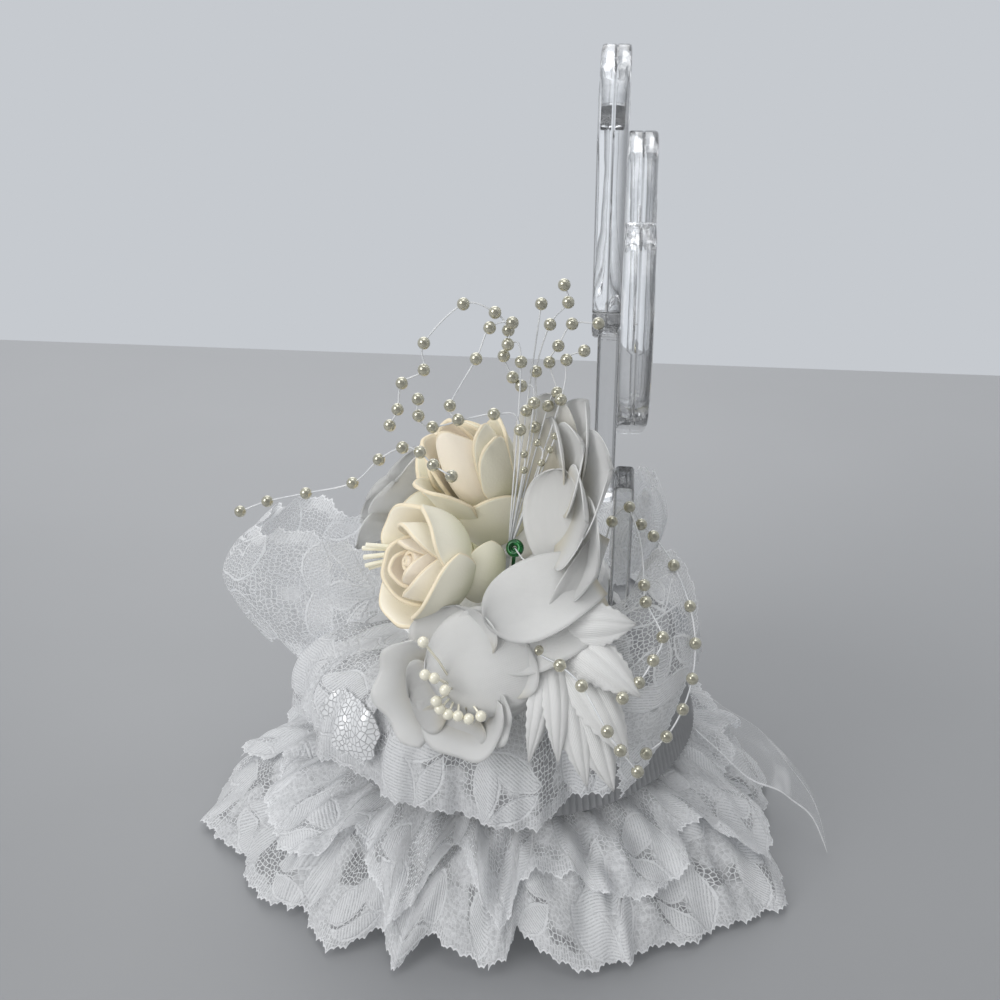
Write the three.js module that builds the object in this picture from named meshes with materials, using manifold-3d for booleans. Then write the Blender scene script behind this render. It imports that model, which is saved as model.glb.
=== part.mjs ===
// A wedding cake topper: two clear hearts on a stem, a bunch of foam roses and
// silk blossoms with pearl sprays, and a fluted drum dressed with lace ruffles.
// Millimetres, +Z up, the table at Z = 0 and the drum's axis on Z. The front of
// the topper faces -Y and the hearts stand behind the flowers at +Y.

import * as THREE from "three";
import { mergeVertices } from "three/addons/utils/BufferGeometryUtils.js";
import Module from "manifold-3d";

const wasm = await Module();
wasm.setup();

// Fits
const glueGap = 0.3;
const stemFit = 0.35;

// Pedestal, drum and foam
const footRadius = 42;
const footHeight = 4;
const neckRadius = 32;
const drumRimHeight = 30;
const drumTopHeight = 58;
const drumRimRadius = 52;
const drumTopRadius = 44.5;
const drumWall = 2.4;
const fluteCount = 60;
const fluteDepth = 0.8;
const foamRadius = 32;
const foamHeight = 27;

// Clear hearts
const heartThickness = 6.9;
const heartBar = 4;
const heartEdge = 0.5;
const heartTilt = Math.PI / 6;
const jointPlaneY = 27.1;
const frontHeartLobe = 18.5;
const frontHeartCentre = { x: -15, z: drumTopHeight + 122 };
const rearHeartLobe = 22.4;
const rearHeartCentre = { x: 12, z: drumTopHeight + 98 };
const lobeSpread = 0.72;
const tipDrop = 2.55;
const tipRound = 1.5;
const heartSteps = 9;
const stemWidth = 14;
const stemThickness = 5.2;
const stemBottom = drumTopHeight + 42.5;
const stemTop = drumTopHeight + 85;
const stemCentreX = 10;
const postWidth = 16;
const postThickness = 5;
const postTop = drumTopHeight + 47;

// Lace
const laceThickness = 0.9;
const skirtHeadRadius = neckRadius + 1;
const skirtHeadHeight = drumRimHeight - 3;
const skirtShoulder = 58;
const hemRadius = 78;
const hemSway = 7;
const hemSwayCount = 3;
const hemSwayTurn = 1.06;
const hemClearance = 0.6;
const skirtFolds = 15;
const skirtFoldDepth = 4;
const skirtFoldWander = 0.6;
const shoulderFoldShare = 0.4;
const collarHeadHeight = drumTopHeight - 4.5;
const collarHemRadius = drumRimRadius + 7;
const collarHemHeight = drumRimHeight + 7;
const collarFolds = 13;
const collarFoldDepth = 2.2;
const collarStart = 1.85;
const collarEnd = 6.7;
const ruffRootRadius = 34;
const ruffRootHeight = drumTopHeight + 1;
const ruffEdgeRadius = 54;
const ruffEdgeHeight = drumTopHeight + 22;
const ruffFolds = 14;
const ruffFoldDepth = 2.5;
const ruffStart = 2.3;
const ruffEnd = 3.9;
const organzaThickness = 0.6;
const organzaClearance = 1.78;
const organzaUpperTurn = 1.7754;
const organzaLowerTurn = 1.3423;

const loopTurnSwell = 0.6;
const frontLoop = { x: 2, y: -29, base: 9.5, halfGap: 8, halfHeight: 5, reach: -50, halfWidth: 20, rise: 1 };
const rearLoop = { x: -14, y: 25, base: 19.5, halfGap: 6, halfHeight: 5, reach: 17, halfWidth: 13, rise: 7 };

// Flowers
const petalThickness = 0.9;
const foamPetalThickness = 1.3;
const upperRoseRadius = 16;
const lowerRoseRadius = 14;
const calyxShare = 0.5;
const calyxLength = 9;
const silkPetalCount = 5;
const outerLayer = { share: 1, height: 0.8, slope: 0.15, turn: 0.3 };
const innerLayer = { share: 0.78, height: 3.2, turn: 0.93 };
const upperBlossomCup = 0.2;
const lowerBlossomCup = 0.5;
const frontBlossomCup = 0.4;
const upperBlossomRadius = 26;
const lowerBlossomRadius = 22;
const frontBlossomRadius = 20;
const flowerStemRadius = 1.2;
const stemElbow = 4.5;
const leafThickness = 0.8;
const leafHalfWidth = 4.2;
const leafBelly = 5;
const leafFold = 0.3;

// Pearls and pin
const pearlRadius = 1.5;
const seedRadius = 0.95;
const stamenPearlRadius = 1.25;
const stamenCount = 9;
const stamenRing = 6.5;
const stamenRoot = 4.4;
const stamenHeight = 6;
const filamentRadius = 0.3;
const sprayStemRadius = 0.7;
const strandSides = 4;
const pinHeadRadius = 2;
const pinShankRadius = 0.45;

// Colours and surfaces
const clearAcrylic = { color: 0xe6eaee, roughness: 0.08, metalness: 0 };
const greyPlastic = { color: 0xb9bcc0, roughness: 0.4, metalness: 0 };
const whiteFoam = { color: 0xf1f0ea, roughness: 0.9, metalness: 0 };
const whiteLace = { color: 0xf0f2f5, roughness: 0.8, metalness: 0 };
const creamFoam = { color: 0xf0dfc4, roughness: 0.75, metalness: 0 };
const paleGreen = { color: 0xcfd6ab, roughness: 0.7, metalness: 0 };
const whiteSilk = { color: 0xf2f2ee, roughness: 0.7, metalness: 0 };
const whiteSatin = { color: 0xf6f6f4, roughness: 0.45, metalness: 0 };
const pearl = { color: 0xdcd8c4, roughness: 0.25, metalness: 0 };
const greenBead = { color: 0x1f6a35, roughness: 0.2, metalness: 0 };

// Where each flower sits: the middle of its base and the way that it faces
const upperRosePlace = { base: onDrum(8, -3.5, 37), faces: vector(0.28, -0.42, 0.87) };
const lowerRosePlace = { base: onDrum(34, -8.5, 32), faces: vector(0.55, -0.78, 0.3) };
const upperBlossomPlace = { base: onDrum(28, 17.5, 44), faces: vector(0.3, -0.92, 0.25) };
const lowerBlossomPlace = { base: onDrum(54.5, -4, 12), faces: vector(0.9, -0.42, 0.12) };
const frontBlossomPlace = { base: onDrum(-6, -25, 29), faces: vector(-0.35, -0.8, 0.5) };

// Where the pieces that are pushed into the foam start and end
const leafRoot = onDrum(47, 13, 24);
const leafStemEnd = onDrum(23, 10, 10);
const leafStrandRoot = onDrum(48.6, 13.7, 25.6);
const sprayKnot = onDrum(30, 2.5, 34);
const sprayStemEnd = onDrum(26, -1, 8);
const sideStrandRoot = [onDrum(21, 21, 4), onDrum(22, 25, 30)];
const pinHead = onDrum(34, 4.5, 37.5);
const pinPoint = onDrum(24, 2, 14);

// Small tools

function vector(x, y, z) {
  return new THREE.Vector3(x, y, z);
}

// A point at a height over the drum's top.
function onDrum(x, y, rise) {
  return vector(x, y, drumTopHeight + rise);
}

// The radius of the drum's wall at a height.
function wallRadius(height) {
  const slope = (drumRimRadius - drumTopRadius) / (drumTopHeight - drumRimHeight);
  return drumTopRadius + slope * (drumTopHeight - height);
}

// A solid for joining and cutting, turned to face outwards.
function solid(geometry) {
  const bare = geometry.index ? geometry.toNonIndexed() : geometry.clone();
  bare.deleteAttribute("normal");
  bare.deleteAttribute("uv");
  const merged = mergeVertices(bare, 1e-4);
  const triVerts = new Uint32Array(merged.index.array);
  const vertProperties = merged.attributes.position.array;
  const made = new wasm.Manifold(new wasm.Mesh({ numProp: 3, vertProperties, triVerts }));
  if (made.volume() > 0) return made;
  const turned = triVerts.map((_, i) => triVerts[i - (i % 3) + 2 - (i % 3)]);
  return new wasm.Manifold(new wasm.Mesh({ numProp: 3, vertProperties, triVerts: turned }));
}

function join(solids) {
  return solids.reduce((whole, next) => whole.add(next));
}

function geometryOf(points, faces) {
  const geometry = new THREE.BufferGeometry();
  const flat = points.flatMap((point) => [point.x, point.y, point.z]);
  geometry.setAttribute("position", new THREE.Float32BufferAttribute(flat, 3));
  geometry.setIndex(faces);
  return geometry;
}

// Rings of points joined one to the next and closed at both ends on their middles.
function ringSolid(rings) {
  const sides = rings[0].length;
  const points = rings.flat();
  const faces = [];
  const quad = (a, b, c, d) => faces.push(a, b, c, a, c, d);
  for (let ring = 0; ring + 1 < rings.length; ring++) {
    for (let side = 0; side < sides; side++) {
      const next = (side + 1) % sides;
      const low = ring * sides;
      quad(low + side, low + next, low + sides + next, low + sides + side);
    }
  }
  const cap = (ring, turn) => {
    const middle = points.length;
    const sum = rings[ring].reduce((total, point) => total.add(point), vector(0, 0, 0));
    points.push(sum.divideScalar(sides));
    for (let side = 0; side < sides; side++) {
      const here = ring * sides + side;
      const next = ring * sides + ((side + 1) % sides);
      faces.push(...(turn ? [middle, here, next] : [middle, next, here]));
    }
  };
  cap(0, false);
  cap(rings.length - 1, true);
  return solid(geometryOf(points, faces));
}

// A thin solid either side of the surface point(u, v), u and v running from 0 to 1.
// A closed sheet meets itself where u comes round to its start.
function sheetSolid(point, columns, rows, thickness, closed = false) {
  const width = closed ? columns : columns + 1;
  const step = 0.01;
  const offsetPoint = (u, v, side) => {
    const alongU = point(u + step, v).sub(point(u - step, v));
    const alongV = point(u, Math.min(v + step, 1)).sub(point(u, Math.max(v - step, 0)));
    const normal = alongU.cross(alongV).normalize();
    return point(u, v).addScaledVector(normal, (side * thickness) / 2);
  };
  const points = [];
  for (const side of [1, -1]) {
    for (let row = 0; row <= rows; row++) {
      for (let column = 0; column < width; column++) {
        points.push(offsetPoint(column / columns, row / rows, side));
      }
    }
  }
  const half = points.length / 2;
  const at = (row, column) => row * width + (column % width);
  const faces = [];
  const quad = (a, b, c, d) => faces.push(a, b, c, a, c, d);
  for (let row = 0; row < rows; row++) {
    for (let column = 0; column < columns; column++) {
      const corners = [at(row, column), at(row, column + 1), at(row + 1, column + 1), at(row + 1, column)];
      quad(...corners);
      quad(...corners.map((corner) => corner + half).reverse());
    }
  }
  const edge = (a, b) => quad(b, a, a + half, b + half);
  for (let column = 0; column < columns; column++) {
    edge(at(0, column), at(0, column + 1));
    edge(at(rows, column + 1), at(rows, column));
  }
  for (let row = 0; row < rows && !closed; row++) {
    edge(at(row + 1, 0), at(row, 0));
    edge(at(row, columns), at(row + 1, columns));
  }
  return solid(geometryOf(points, faces));
}

function ringAround(centre, along, across, radius, sides) {
  const third = along.clone().cross(across).normalize();
  return Array.from({ length: sides }, (_, side) => {
    const angle = (2 * Math.PI * side) / sides;
    return centre
      .clone()
      .addScaledVector(across, radius * Math.cos(angle))
      .addScaledVector(third, radius * Math.sin(angle));
  });
}

// The direction nearest to a wished one that stands square to another.
function squareTo(along, wished) {
  return wished.clone().addScaledVector(along, -wished.dot(along)).normalize();
}

// A round rod from one point to another.
function rod(from, to, radius, sides = 6) {
  const along = to.clone().sub(from).normalize();
  const wished = Math.abs(along.x) < 0.9 ? vector(1, 0, 0) : vector(0, 1, 0);
  const across = squareTo(along, wished);
  const ends = [from, to];
  return ringSolid(ends.map((end) => ringAround(end, along, across, radius, sides)));
}

function ball(centre, radius, sides = 7, rows = 5) {
  const geometry = new THREE.SphereGeometry(radius, sides, rows);
  return solid(geometry.translate(centre.x, centre.y, centre.z));
}

// A curve between two ends that leans towards two guide points on its way.
function bend(from, guide, secondGuide, to) {
  const curve = new THREE.CubicBezierCurve3(from, guide, secondGuide, to);
  return (t) => curve.getPoint(t);
}

// The turn and shift that carry a flower's own frame to its place.
function placing(place) {
  const facing = place.faces.clone().normalize();
  const turn = new THREE.Quaternion().setFromUnitVectors(vector(0, 0, 1), facing);
  return (point) => point.applyQuaternion(turn).add(place.base);
}

// Pedestal, drum and foam

function pedestal() {
  const top = drumTopHeight - drumWall;
  const profile = [
    [0, 0],
    [footRadius, 0],
    [footRadius, footHeight],
    [neckRadius, footHeight],
    [neckRadius, top],
    [0, top],
  ];
  const points = profile.map(([radius, height]) => new THREE.Vector2(radius, height));
  return solid(new THREE.LatheGeometry(points, 36).rotateX(Math.PI / 2));
}

// An inverted cup whose outer wall is fluted all round.
function flutedDrum() {
  const sides = 2 * fluteCount;
  const ring = (radius, height, depth) =>
    Array.from({ length: sides }, (_, side) => {
      const angle = (2 * Math.PI * side) / sides;
      const own = radius - (side % 2) * depth;
      return vector(own * Math.cos(angle), own * Math.sin(angle), height);
    });
  return ringSolid([
    ring(drumTopRadius - drumWall, drumTopHeight - drumWall, 0),
    ring(drumRimRadius - drumWall, drumRimHeight, 0),
    ring(drumRimRadius, drumRimHeight, fluteDepth),
    ring(drumTopRadius, drumTopHeight, fluteDepth),
  ]);
}

// A low dome on the drum, with a slot for the post and a hole for each stem.
function foamDome(pushedIn) {
  const rows = 5;
  const profile = [new THREE.Vector2(0, 0)];
  for (let row = 0; row <= rows; row++) {
    const angle = (Math.PI / 2) * (row / rows);
    profile.push(new THREE.Vector2(foamRadius * Math.cos(angle), foamHeight * Math.sin(angle)));
  }
  const dome = new THREE.LatheGeometry(profile, 24).rotateX(Math.PI / 2).translate(0, 0, drumTopHeight);
  const slot = new THREE.BoxGeometry(postWidth + 2 * stemFit, postThickness + 2 * stemFit, 3 * foamHeight);
  slot.translate(stemCentreX, jointPlaneY + postThickness / 2, drumTopHeight);
  return pushedIn.reduce((left, hole) => left.subtract(hole), solid(dome).subtract(solid(slot)));
}

// Clear hearts, stem and post

// A heart outline about the middle of its lobes: two arcs, two straight flanks
// and a rounded tip, moved outwards by grow.
function heartOutline(lobe, grow) {
  const radius = lobe + grow;
  const spread = lobe * lobeSpread;
  const drop = lobe * tipDrop;
  const reach = Math.hypot(spread, drop);
  const flank = Math.atan2(spread, drop) + Math.asin(lobe / reach);
  const rounding = tipRound + Math.max(grow, 0);
  const tip = -drop - grow / Math.sin(flank);
  const roundCentre = tip + rounding / Math.sin(flank);
  const cleft = Math.sqrt(radius * radius - spread * spread);
  const cleftAngle = Math.PI - Math.atan2(cleft, spread);
  const right = [];
  for (let step = 1; step <= 2; step++) {
    const angle = -Math.PI / 2 + ((Math.PI / 2 - flank) * step) / 2;
    right.push(new THREE.Vector2(rounding * Math.cos(angle), roundCentre + rounding * Math.sin(angle)));
  }
  for (let step = 0; step < heartSteps; step++) {
    const angle = -flank + ((cleftAngle + flank) * step) / heartSteps;
    right.push(new THREE.Vector2(spread + radius * Math.cos(angle), radius * Math.sin(angle)));
  }
  const left = right.map((point) => new THREE.Vector2(-point.x, point.y)).reverse();
  return [new THREE.Vector2(0, roundCentre - rounding), ...right, new THREE.Vector2(0, cleft), ...left];
}

// An upright plate: an outline drawn in X and Z, spread over a span of Y.
function uprightPlate(shape, fromY, thickness, edge) {
  const geometry = new THREE.ExtrudeGeometry(shape, {
    depth: thickness - 2 * edge,
    bevelEnabled: edge > 0,
    bevelThickness: edge,
    bevelSize: edge,
    bevelOffset: -edge,
    bevelSegments: 1,
    steps: 1,
  });
  return geometry.translate(0, 0, edge).rotateX(Math.PI / 2).translate(0, fromY + thickness, 0);
}

function tilted(geometry, centre, tilt) {
  return solid(geometry.rotateY(-tilt).translate(centre.x, 0, centre.z));
}

// One open heart laid up from two layers, with a fine line round it where they meet.
function heart(lobe, centre, tilt, fromY) {
  const layer = heartThickness / 2;
  const halves = [0, 1].map((count) => {
    const shape = new THREE.Shape(heartOutline(lobe, 0));
    shape.holes.push(new THREE.Path(heartOutline(lobe, -heartBar)));
    return tilted(uprightPlate(shape, fromY + count * layer, layer, heartEdge), centre, tilt);
  });
  return join(halves);
}

function rectangle(width, centreX, bottom, top) {
  const half = width / 2;
  return new THREE.Shape([
    new THREE.Vector2(centreX - half, bottom),
    new THREE.Vector2(centreX + half, bottom),
    new THREE.Vector2(centreX + half, top),
    new THREE.Vector2(centreX - half, top),
  ]);
}

// The stem under the front heart, with a seat cut to the heart's own tip.
function heartStem() {
  const shape = rectangle(stemWidth, stemCentreX, stemBottom, stemTop);
  const plate = solid(uprightPlate(shape, jointPlaneY - stemThickness, stemThickness, 0));
  const seat = new THREE.Shape(heartOutline(frontHeartLobe, glueGap));
  const seatPlate = uprightPlate(seat, jointPlaneY - 2 * heartThickness, 4 * heartThickness, 0);
  return plate.subtract(tilted(seatPlate, frontHeartCentre, heartTilt));
}

function heartPost() {
  const shape = rectangle(postWidth, stemCentreX, drumTopHeight, postTop);
  return solid(uprightPlate(shape, jointPlaneY, postThickness, 0));
}

// Lace

// The full skirt: it leaves the neck under the drum, turns over a shoulder and
// falls in folds to a hem that sways out in three flares.
function laceSkirt() {
  const point = (u, v) => {
    const angle = 2 * Math.PI * u;
    const sway = hemSway * Math.cos(hemSwayCount * (angle - hemSwayTurn));
    const fold = skirtFoldDepth * Math.sin(skirtFolds * angle + skirtFoldWander * Math.sin(3 * angle));
    const hem = hemRadius + sway + fold;
    const shoulder = skirtShoulder + fold * shoulderFoldShare;
    const inner = (1 - v) * (1 - v);
    const middle = 2 * v * (1 - v);
    const outer = v * v;
    const radius = skirtHeadRadius * inner + shoulder * middle + hem * outer;
    const height = skirtHeadHeight * (inner + middle) + (hemClearance + laceThickness / 2) * outer;
    return vector(radius * Math.cos(angle), radius * Math.sin(angle), height);
  };
  return sheetSolid(point, 5 * skirtFolds, 3, laceThickness, true);
}

// The short upper ruffle, open where the drum shows at the back right.
function laceCollar() {
  const clear = glueGap + laceThickness / 2;
  const headRadius = wallRadius(collarHeadHeight) + clear;
  const point = (u, v) => {
    const angle = collarStart + (collarEnd - collarStart) * u;
    const fold = collarFoldDepth * Math.sin(collarFolds * angle) * v;
    const radius = headRadius + (collarHemRadius - headRadius) * Math.sin((Math.PI / 2) * v) + fold;
    const height = collarHeadHeight + (collarHemHeight - collarHeadHeight) * v * v;
    return vector(radius * Math.cos(angle), radius * Math.sin(angle), height);
  };
  return sheetSolid(point, 52, 2, laceThickness);
}

// A loop of wide ribbon: it runs out from the bunch, turns round and comes back.
// It is gathered at its root and opens to its full width at the turn.
function laceLoop(loop) {
  const ruffleDepth = 1.5;
  const openEnds = 0.1;
  const point = (share, v) => {
    const u = openEnds + (1 - 2 * openEnds) * share;
    const turn = Math.PI * (2 * u - 1);
    const side = 2 * v - 1;
    const out = (1 + Math.cos(turn)) / 2;
    const gap = loop.halfGap * Math.sin(turn) * (1 + loopTurnSwell * out);
    const spread = loop.halfHeight + (loop.halfWidth - loop.halfHeight) * out;
    const ruffle = ruffleDepth * Math.sin(2 * turn) * side;
    const rise = loop.base + loop.rise * out + spread * side;
    return onDrum(loop.x + gap + ruffle, loop.y + loop.reach * out, rise);
  };
  return sheetSolid(point, 14, 2, laceThickness);
}

// The ruff that stands behind the bunch on the side away from the roses.
function laceRuff() {
  const point = (u, v) => {
    const angle = ruffStart + (ruffEnd - ruffStart) * u;
    const fold = ruffFoldDepth * Math.sin(ruffFolds * angle) * v;
    const radius = ruffRootRadius + (ruffEdgeRadius - ruffRootRadius) * v;
    const height = ruffRootHeight + (ruffEdgeHeight - ruffRootHeight) * v * (2 - v) + fold;
    return vector((radius - fold) * Math.cos(angle), (radius - fold) * Math.sin(angle), height);
  };
  return sheetSolid(point, 30, 2, laceThickness);
}

// A sheet hung between two bent edges, bellied out between them.
function sailSheet(leftEdge, rightEdge, belly, thickness, columns, rows) {
  const point = (u, v) => {
    const bulge = Math.sin(Math.PI * u) * Math.sin(Math.PI * v);
    return leftEdge(v).lerp(rightEdge(v), u).addScaledVector(belly, bulge);
  };
  return sheetSolid(point, columns, rows, thickness);
}

// The side flounce stands up from the drum's top, folds over and hangs to a point.
function laceFlounce() {
  const left = bend(onDrum(34, 20, 1.2), onDrum(34, 31, 45), onDrum(62, 24, 22), onDrum(56, 31, -18));
  const right = bend(onDrum(27, 27, 1.2), onDrum(16, 34, 67), onDrum(30, 64, 17), onDrum(52, 37, -19));
  return sailSheet(left, right, vector(3, 3, 1), laceThickness, 6, 10);
}

// The sheer tail leaves the drum's wall and falls to a point on the table.
function organzaTail() {
  const onWall = (angle, height) => {
    const radius = wallRadius(height) + organzaClearance;
    return vector(radius * Math.cos(angle), radius * Math.sin(angle), height);
  };
  const upperRoot = onWall(organzaUpperTurn, drumTopHeight - 11);
  const lowerRoot = onWall(organzaLowerTurn, drumRimHeight + 3);
  const upper = bend(upperRoot, vector(-8, 66, 52), vector(6, 84, 26), vector(17, 89, 1.6));
  const lower = bend(lowerRoot, vector(18, 62, 33), vector(24, 80, 14), vector(21, 89, 1));
  return sailSheet(upper, lower, vector(0, 2, 3), organzaThickness, 5, 6);
}

// Flowers

// One petal in the flower's frame, which faces +Z: it grows from a base ring at
// an angle round the flower, rises at one slope and ends at another, and is
// rolled across its width.
function petal(form, angle) {
  const point = (u, v) => {
    const side = 2 * u - 1;
    const chordSlope = form.slope + ((form.tipSlope - form.slope) * v) / 2;
    const slope = form.slope + (form.tipSlope - form.slope) * v;
    const width = form.halfWidth * (form.neck + (1 - form.neck) * Math.sin(Math.PI * (0.08 + 0.84 * v)));
    const across = (width * Math.sin(form.roll * side)) / form.roll;
    const lift = (width * (1 - Math.cos(form.roll * side))) / form.roll;
    const radial = form.baseRadius + form.length * v * Math.cos(chordSlope) - lift * Math.sin(slope);
    const height = form.baseHeight + form.length * v * Math.sin(chordSlope) + lift * Math.cos(slope);
    return vector(radial, across, height).applyAxisAngle(vector(0, 0, 1), angle);
  };
  return (place) => sheetSolid((u, v) => place(point(u, v)), 4, form.rows, form.thickness);
}

// A ring of like petals round a flower's axis.
function whorl(form, count, turn, place) {
  const stepAngle = (2 * Math.PI) / count;
  return Array.from({ length: count }, (_, index) => petal(form, turn + index * stepAngle)(place));
}

// A button on the flower's axis that holds its petals together.
function button(place, bottom, top, radius) {
  return rod(place(vector(0, 0, bottom)), place(vector(0, 0, top)), radius, 8);
}

// A foam rose: a pointed bud, a half-open whorl and a cupped outer whorl.
function roseBloom(radius, place) {
  const thickness = foamPetalThickness;
  const middle = {
    length: 1.2 * radius, halfWidth: 0.6 * radius, slope: 1.0, tipSlope: 1.6,
    roll: 0.9, baseRadius: 0.36 * radius, baseHeight: 0.16 * radius, rows: 2, neck: 0.4, thickness,
  };
  const outer = {
    length: 1.3 * radius, halfWidth: 0.66 * radius, slope: 0.5, tipSlope: 1.35,
    roll: 0.75, baseRadius: 0.36 * radius, baseHeight: 0.06 * radius, rows: 2, neck: 0.4, thickness,
  };
  const budRings = [
    [0, 0.42], [0.45, 0.46], [0.9, 0.42], [1.25, 0.22],
  ];
  const bud = budRings.map(([height, share]) =>
    ringAround(vector(0, 0, height * radius), vector(0, 0, 1), vector(1, 0, 0), share * radius, 8).map(place),
  );
  return join([ringSolid(bud), ...whorl(middle, 3, 0.5, place), ...whorl(outer, 4, 0.2, place)]);
}

// One cut layer of silk petals on a small button.
function blossomLayer(radius, { share, height, slope, turn }, place) {
  const own = share * radius;
  const form = {
    length: 0.8 * own, halfWidth: 0.4 * own, slope, tipSlope: 0.8 * slope,
    roll: 0.45, baseRadius: 0.19 * own, baseHeight: height, rows: 2, neck: 0.15, thickness: petalThickness,
  };
  const middle = button(place, height - 1, height + 1.1, 0.26 * own);
  return join([middle, ...whorl(form, silkPetalCount, turn, place)]);
}

// The wire that carries a flower: straight back from its base, then bent over
// to a point inside the foam.
function flowerStem(place, into, radius, calyxRadius = 0) {
  const start = place(vector(0, 0, -glueGap));
  const elbow = place(vector(0, 0, -stemElbow));
  const back = elbow.clone().sub(start).normalize();
  const down = into.clone().sub(elbow).normalize();
  const across = squareTo(down, back.clone().cross(down));
  const middle = back.clone().add(down).normalize();
  const wire = ringSolid([
    ringAround(start, back, across, radius, 6),
    ringAround(elbow, middle, across, radius, 6),
    ringAround(into, down, across, radius, 6),
  ]);
  if (!calyxRadius) return wire;
  const calyx = [
    [-glueGap, calyxRadius], [-0.4 * calyxLength, 0.8 * calyxRadius], [-calyxLength, radius * 1.2],
  ].map(([height, share]) =>
    ringAround(vector(0, 0, height), vector(0, 0, 1), vector(1, 0, 0), share, 10).map(place),
  );
  return wire.add(ringSolid(calyx));
}

// Pearl-headed threads that stand round the middle of a flower.
function stamens(place) {
  const root = vector(0, 0, stamenRoot);
  const threads = Array.from({ length: stamenCount }, (_, index) => {
    const angle = (2 * Math.PI * index) / stamenCount;
    const tip = vector(stamenRing * Math.cos(angle), stamenRing * Math.sin(angle), stamenRoot + stamenHeight);
    return strand([place(root.clone()), place(tip)], stamenPearlRadius);
  });
  return join([button(place, stamenRoot, stamenRoot + 1, 1.6), ...threads]);
}

// Satin leaves fanned from one root, each folded along its midrib.
function leafSpray() {
  const tips = [
    onDrum(48, 34, 28),
    onDrum(55, 39, 12),
    onDrum(64, 36, -8),
    onDrum(66, 25, -10),
    onDrum(67, 15, -8),
  ];
  const leaves = tips.map((tip) => {
    const along = tip.clone().sub(leafRoot);
    const outward = squareTo(along.clone().normalize(), vector(0.8, 0.3, 0.5));
    const across = along.clone().normalize().cross(outward);
    const point = (u, share) => {
      const side = 2 * u - 1;
      const v = 0.05 + 0.95 * share;
      const width = leafHalfWidth * (0.18 + 0.82 * Math.pow(Math.sin(Math.PI * (0.05 + 0.85 * v)), 0.8));
      const belly = leafBelly * Math.sin(Math.PI * v) - leafFold * width * Math.abs(side);
      return leafRoot
        .clone()
        .addScaledVector(along, v)
        .addScaledVector(across, width * side)
        .addScaledVector(outward, belly);
    };
    return sheetSolid(point, 2, 4, leafThickness);
  });
  const knot = ball(leafRoot, 1.5 * flowerStemRadius);
  return join([knot, rod(leafRoot, leafStemEnd, flowerStemRadius), ...leaves]);
}

// Pearl sprays

// Beads strung on a stiff filament: one tube along a smooth route, with a bead
// at every point of the route after the bare ones at its root.
function strand(route, beadRadius, bare = 1) {
  const curve = new THREE.CatmullRomCurve3(route, false, "centripetal");
  const last = route.length - 1;
  const thin = filamentRadius;
  const stations = [];
  const swell = [
    [-0.95, thin], [-0.45, 0.9 * beadRadius], [0.45, 0.9 * beadRadius], [0.95, thin],
  ];
  route.forEach((_, index) => {
    const at = index / last;
    if (index < bare) stations.push({ at, shift: 0, radius: thin });
    else swell.forEach(([share, radius]) => stations.push({ at, shift: share * beadRadius, radius }));
  });
  const rings = stations.map(({ at, shift, radius }) => {
    const along = curve.getTangent(at);
    const centre = curve.getPoint(at).addScaledVector(along, shift);
    return ringAround(centre, along, squareTo(along, vector(1, 0, 0)), radius, strandSides);
  });
  return ringSolid(rings);
}

// The spray that stands over the bunch: loops to the left, a fan to the right
// and short twigs of seed pearls, all gathered on one stem.
function topSpray() {
  const loops = [
    [[26, 8, 71], [26, 5, 75], [26, 3, 77], [26, 1, 82], [26, 2, 88], [26, -1, 92], [27, -8, 94],
      [28, -17, 85], [29, -17, 79], [30, -22, 76], [31, -23, 70], [31, -25, 66]],
    [[27, 5, 81], [27, 2, 85], [27, 3, 90], [28, -2, 89], [29, -5, 82], [30, -11, 71], [31, -9, 68]],
    [[28, 5, 65], [29, -1, 69], [31, -15, 66], [32, -18, 69], [32, -18, 73]],
  ];
  const fan = [
    [[22, 11, 69], [21, 13, 72], [20, 11, 79], [20, 13, 83], [19, 16, 88], [18, 22, 88]],
    [[23, 8, 64], [21, 8, 77], [20, 11, 88], [19, 15, 93], [19, 14, 97]],
    [[23, 14, 71], [21, 15, 80], [20, 19, 82]],
    [[23, 6, 68], [21, 9, 93]],
  ];
  const overRose = [
    [[36, -10, 56], [37, -14, 59], [37, -17, 62], [37, -21, 63], [35, -27, 59], [33, -34, 52],
      [31, -46, 48], [30, -56, 45], [30, -63, 42]],
  ];
  const twigs = [
    [[28, 10, 57], [28, 9, 62]],
    [[28, 6, 55], [28, 6, 59]],
    [[27, 12, 60], [26, 13, 63]],
  ];
  const route = (points) => [sprayKnot, ...points.map((point) => onDrum(...point))];
  return join([
    ball(sprayKnot, 2 * sprayStemRadius),
    rod(sprayKnot, sprayStemEnd, sprayStemRadius),
    ...[...loops, ...fan, ...overRose].map((points) => strand(route(points), pearlRadius)),
    ...twigs.map((points) => strand(route(points), seedRadius)),
  ]);
}

// The strand that stands behind the upper blossom and wanders down over the side lace.
function sideStrand() {
  const beads = [
    [24, 27, 41], [24, 31, 45], [25, 34, 41], [26, 38, 40], [28, 44, 34], [32, 50, 26], [36, 53, 19],
    [42, 52, 12], [47, 50, 7], [51, 48, 2], [56, 44, -1],
  ];
  return strand([...sideStrandRoot, ...beads.map((bead) => onDrum(...bead))], pearlRadius, 2);
}

// The short strand that lies along the leaves.
function leafStrand() {
  const beads = [
    [56, 12, 23], [60, 17, 22], [63, 22, 19], [68, 28, 11], [69, 31, 7], [68, 35, 1],
  ];
  return strand([leafStrandRoot, ...beads.map((bead) => onDrum(...bead))], pearlRadius);
}

// The green-headed pin that holds the spray in the foam.
function floristPin() {
  return rod(pinHead, pinPoint, pinShankRadius).add(ball(pinHead, pinHeadRadius, 10, 7));
}

// The whole topper

const group = new THREE.Group();
group.name = "wedding_cake_topper";

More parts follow.
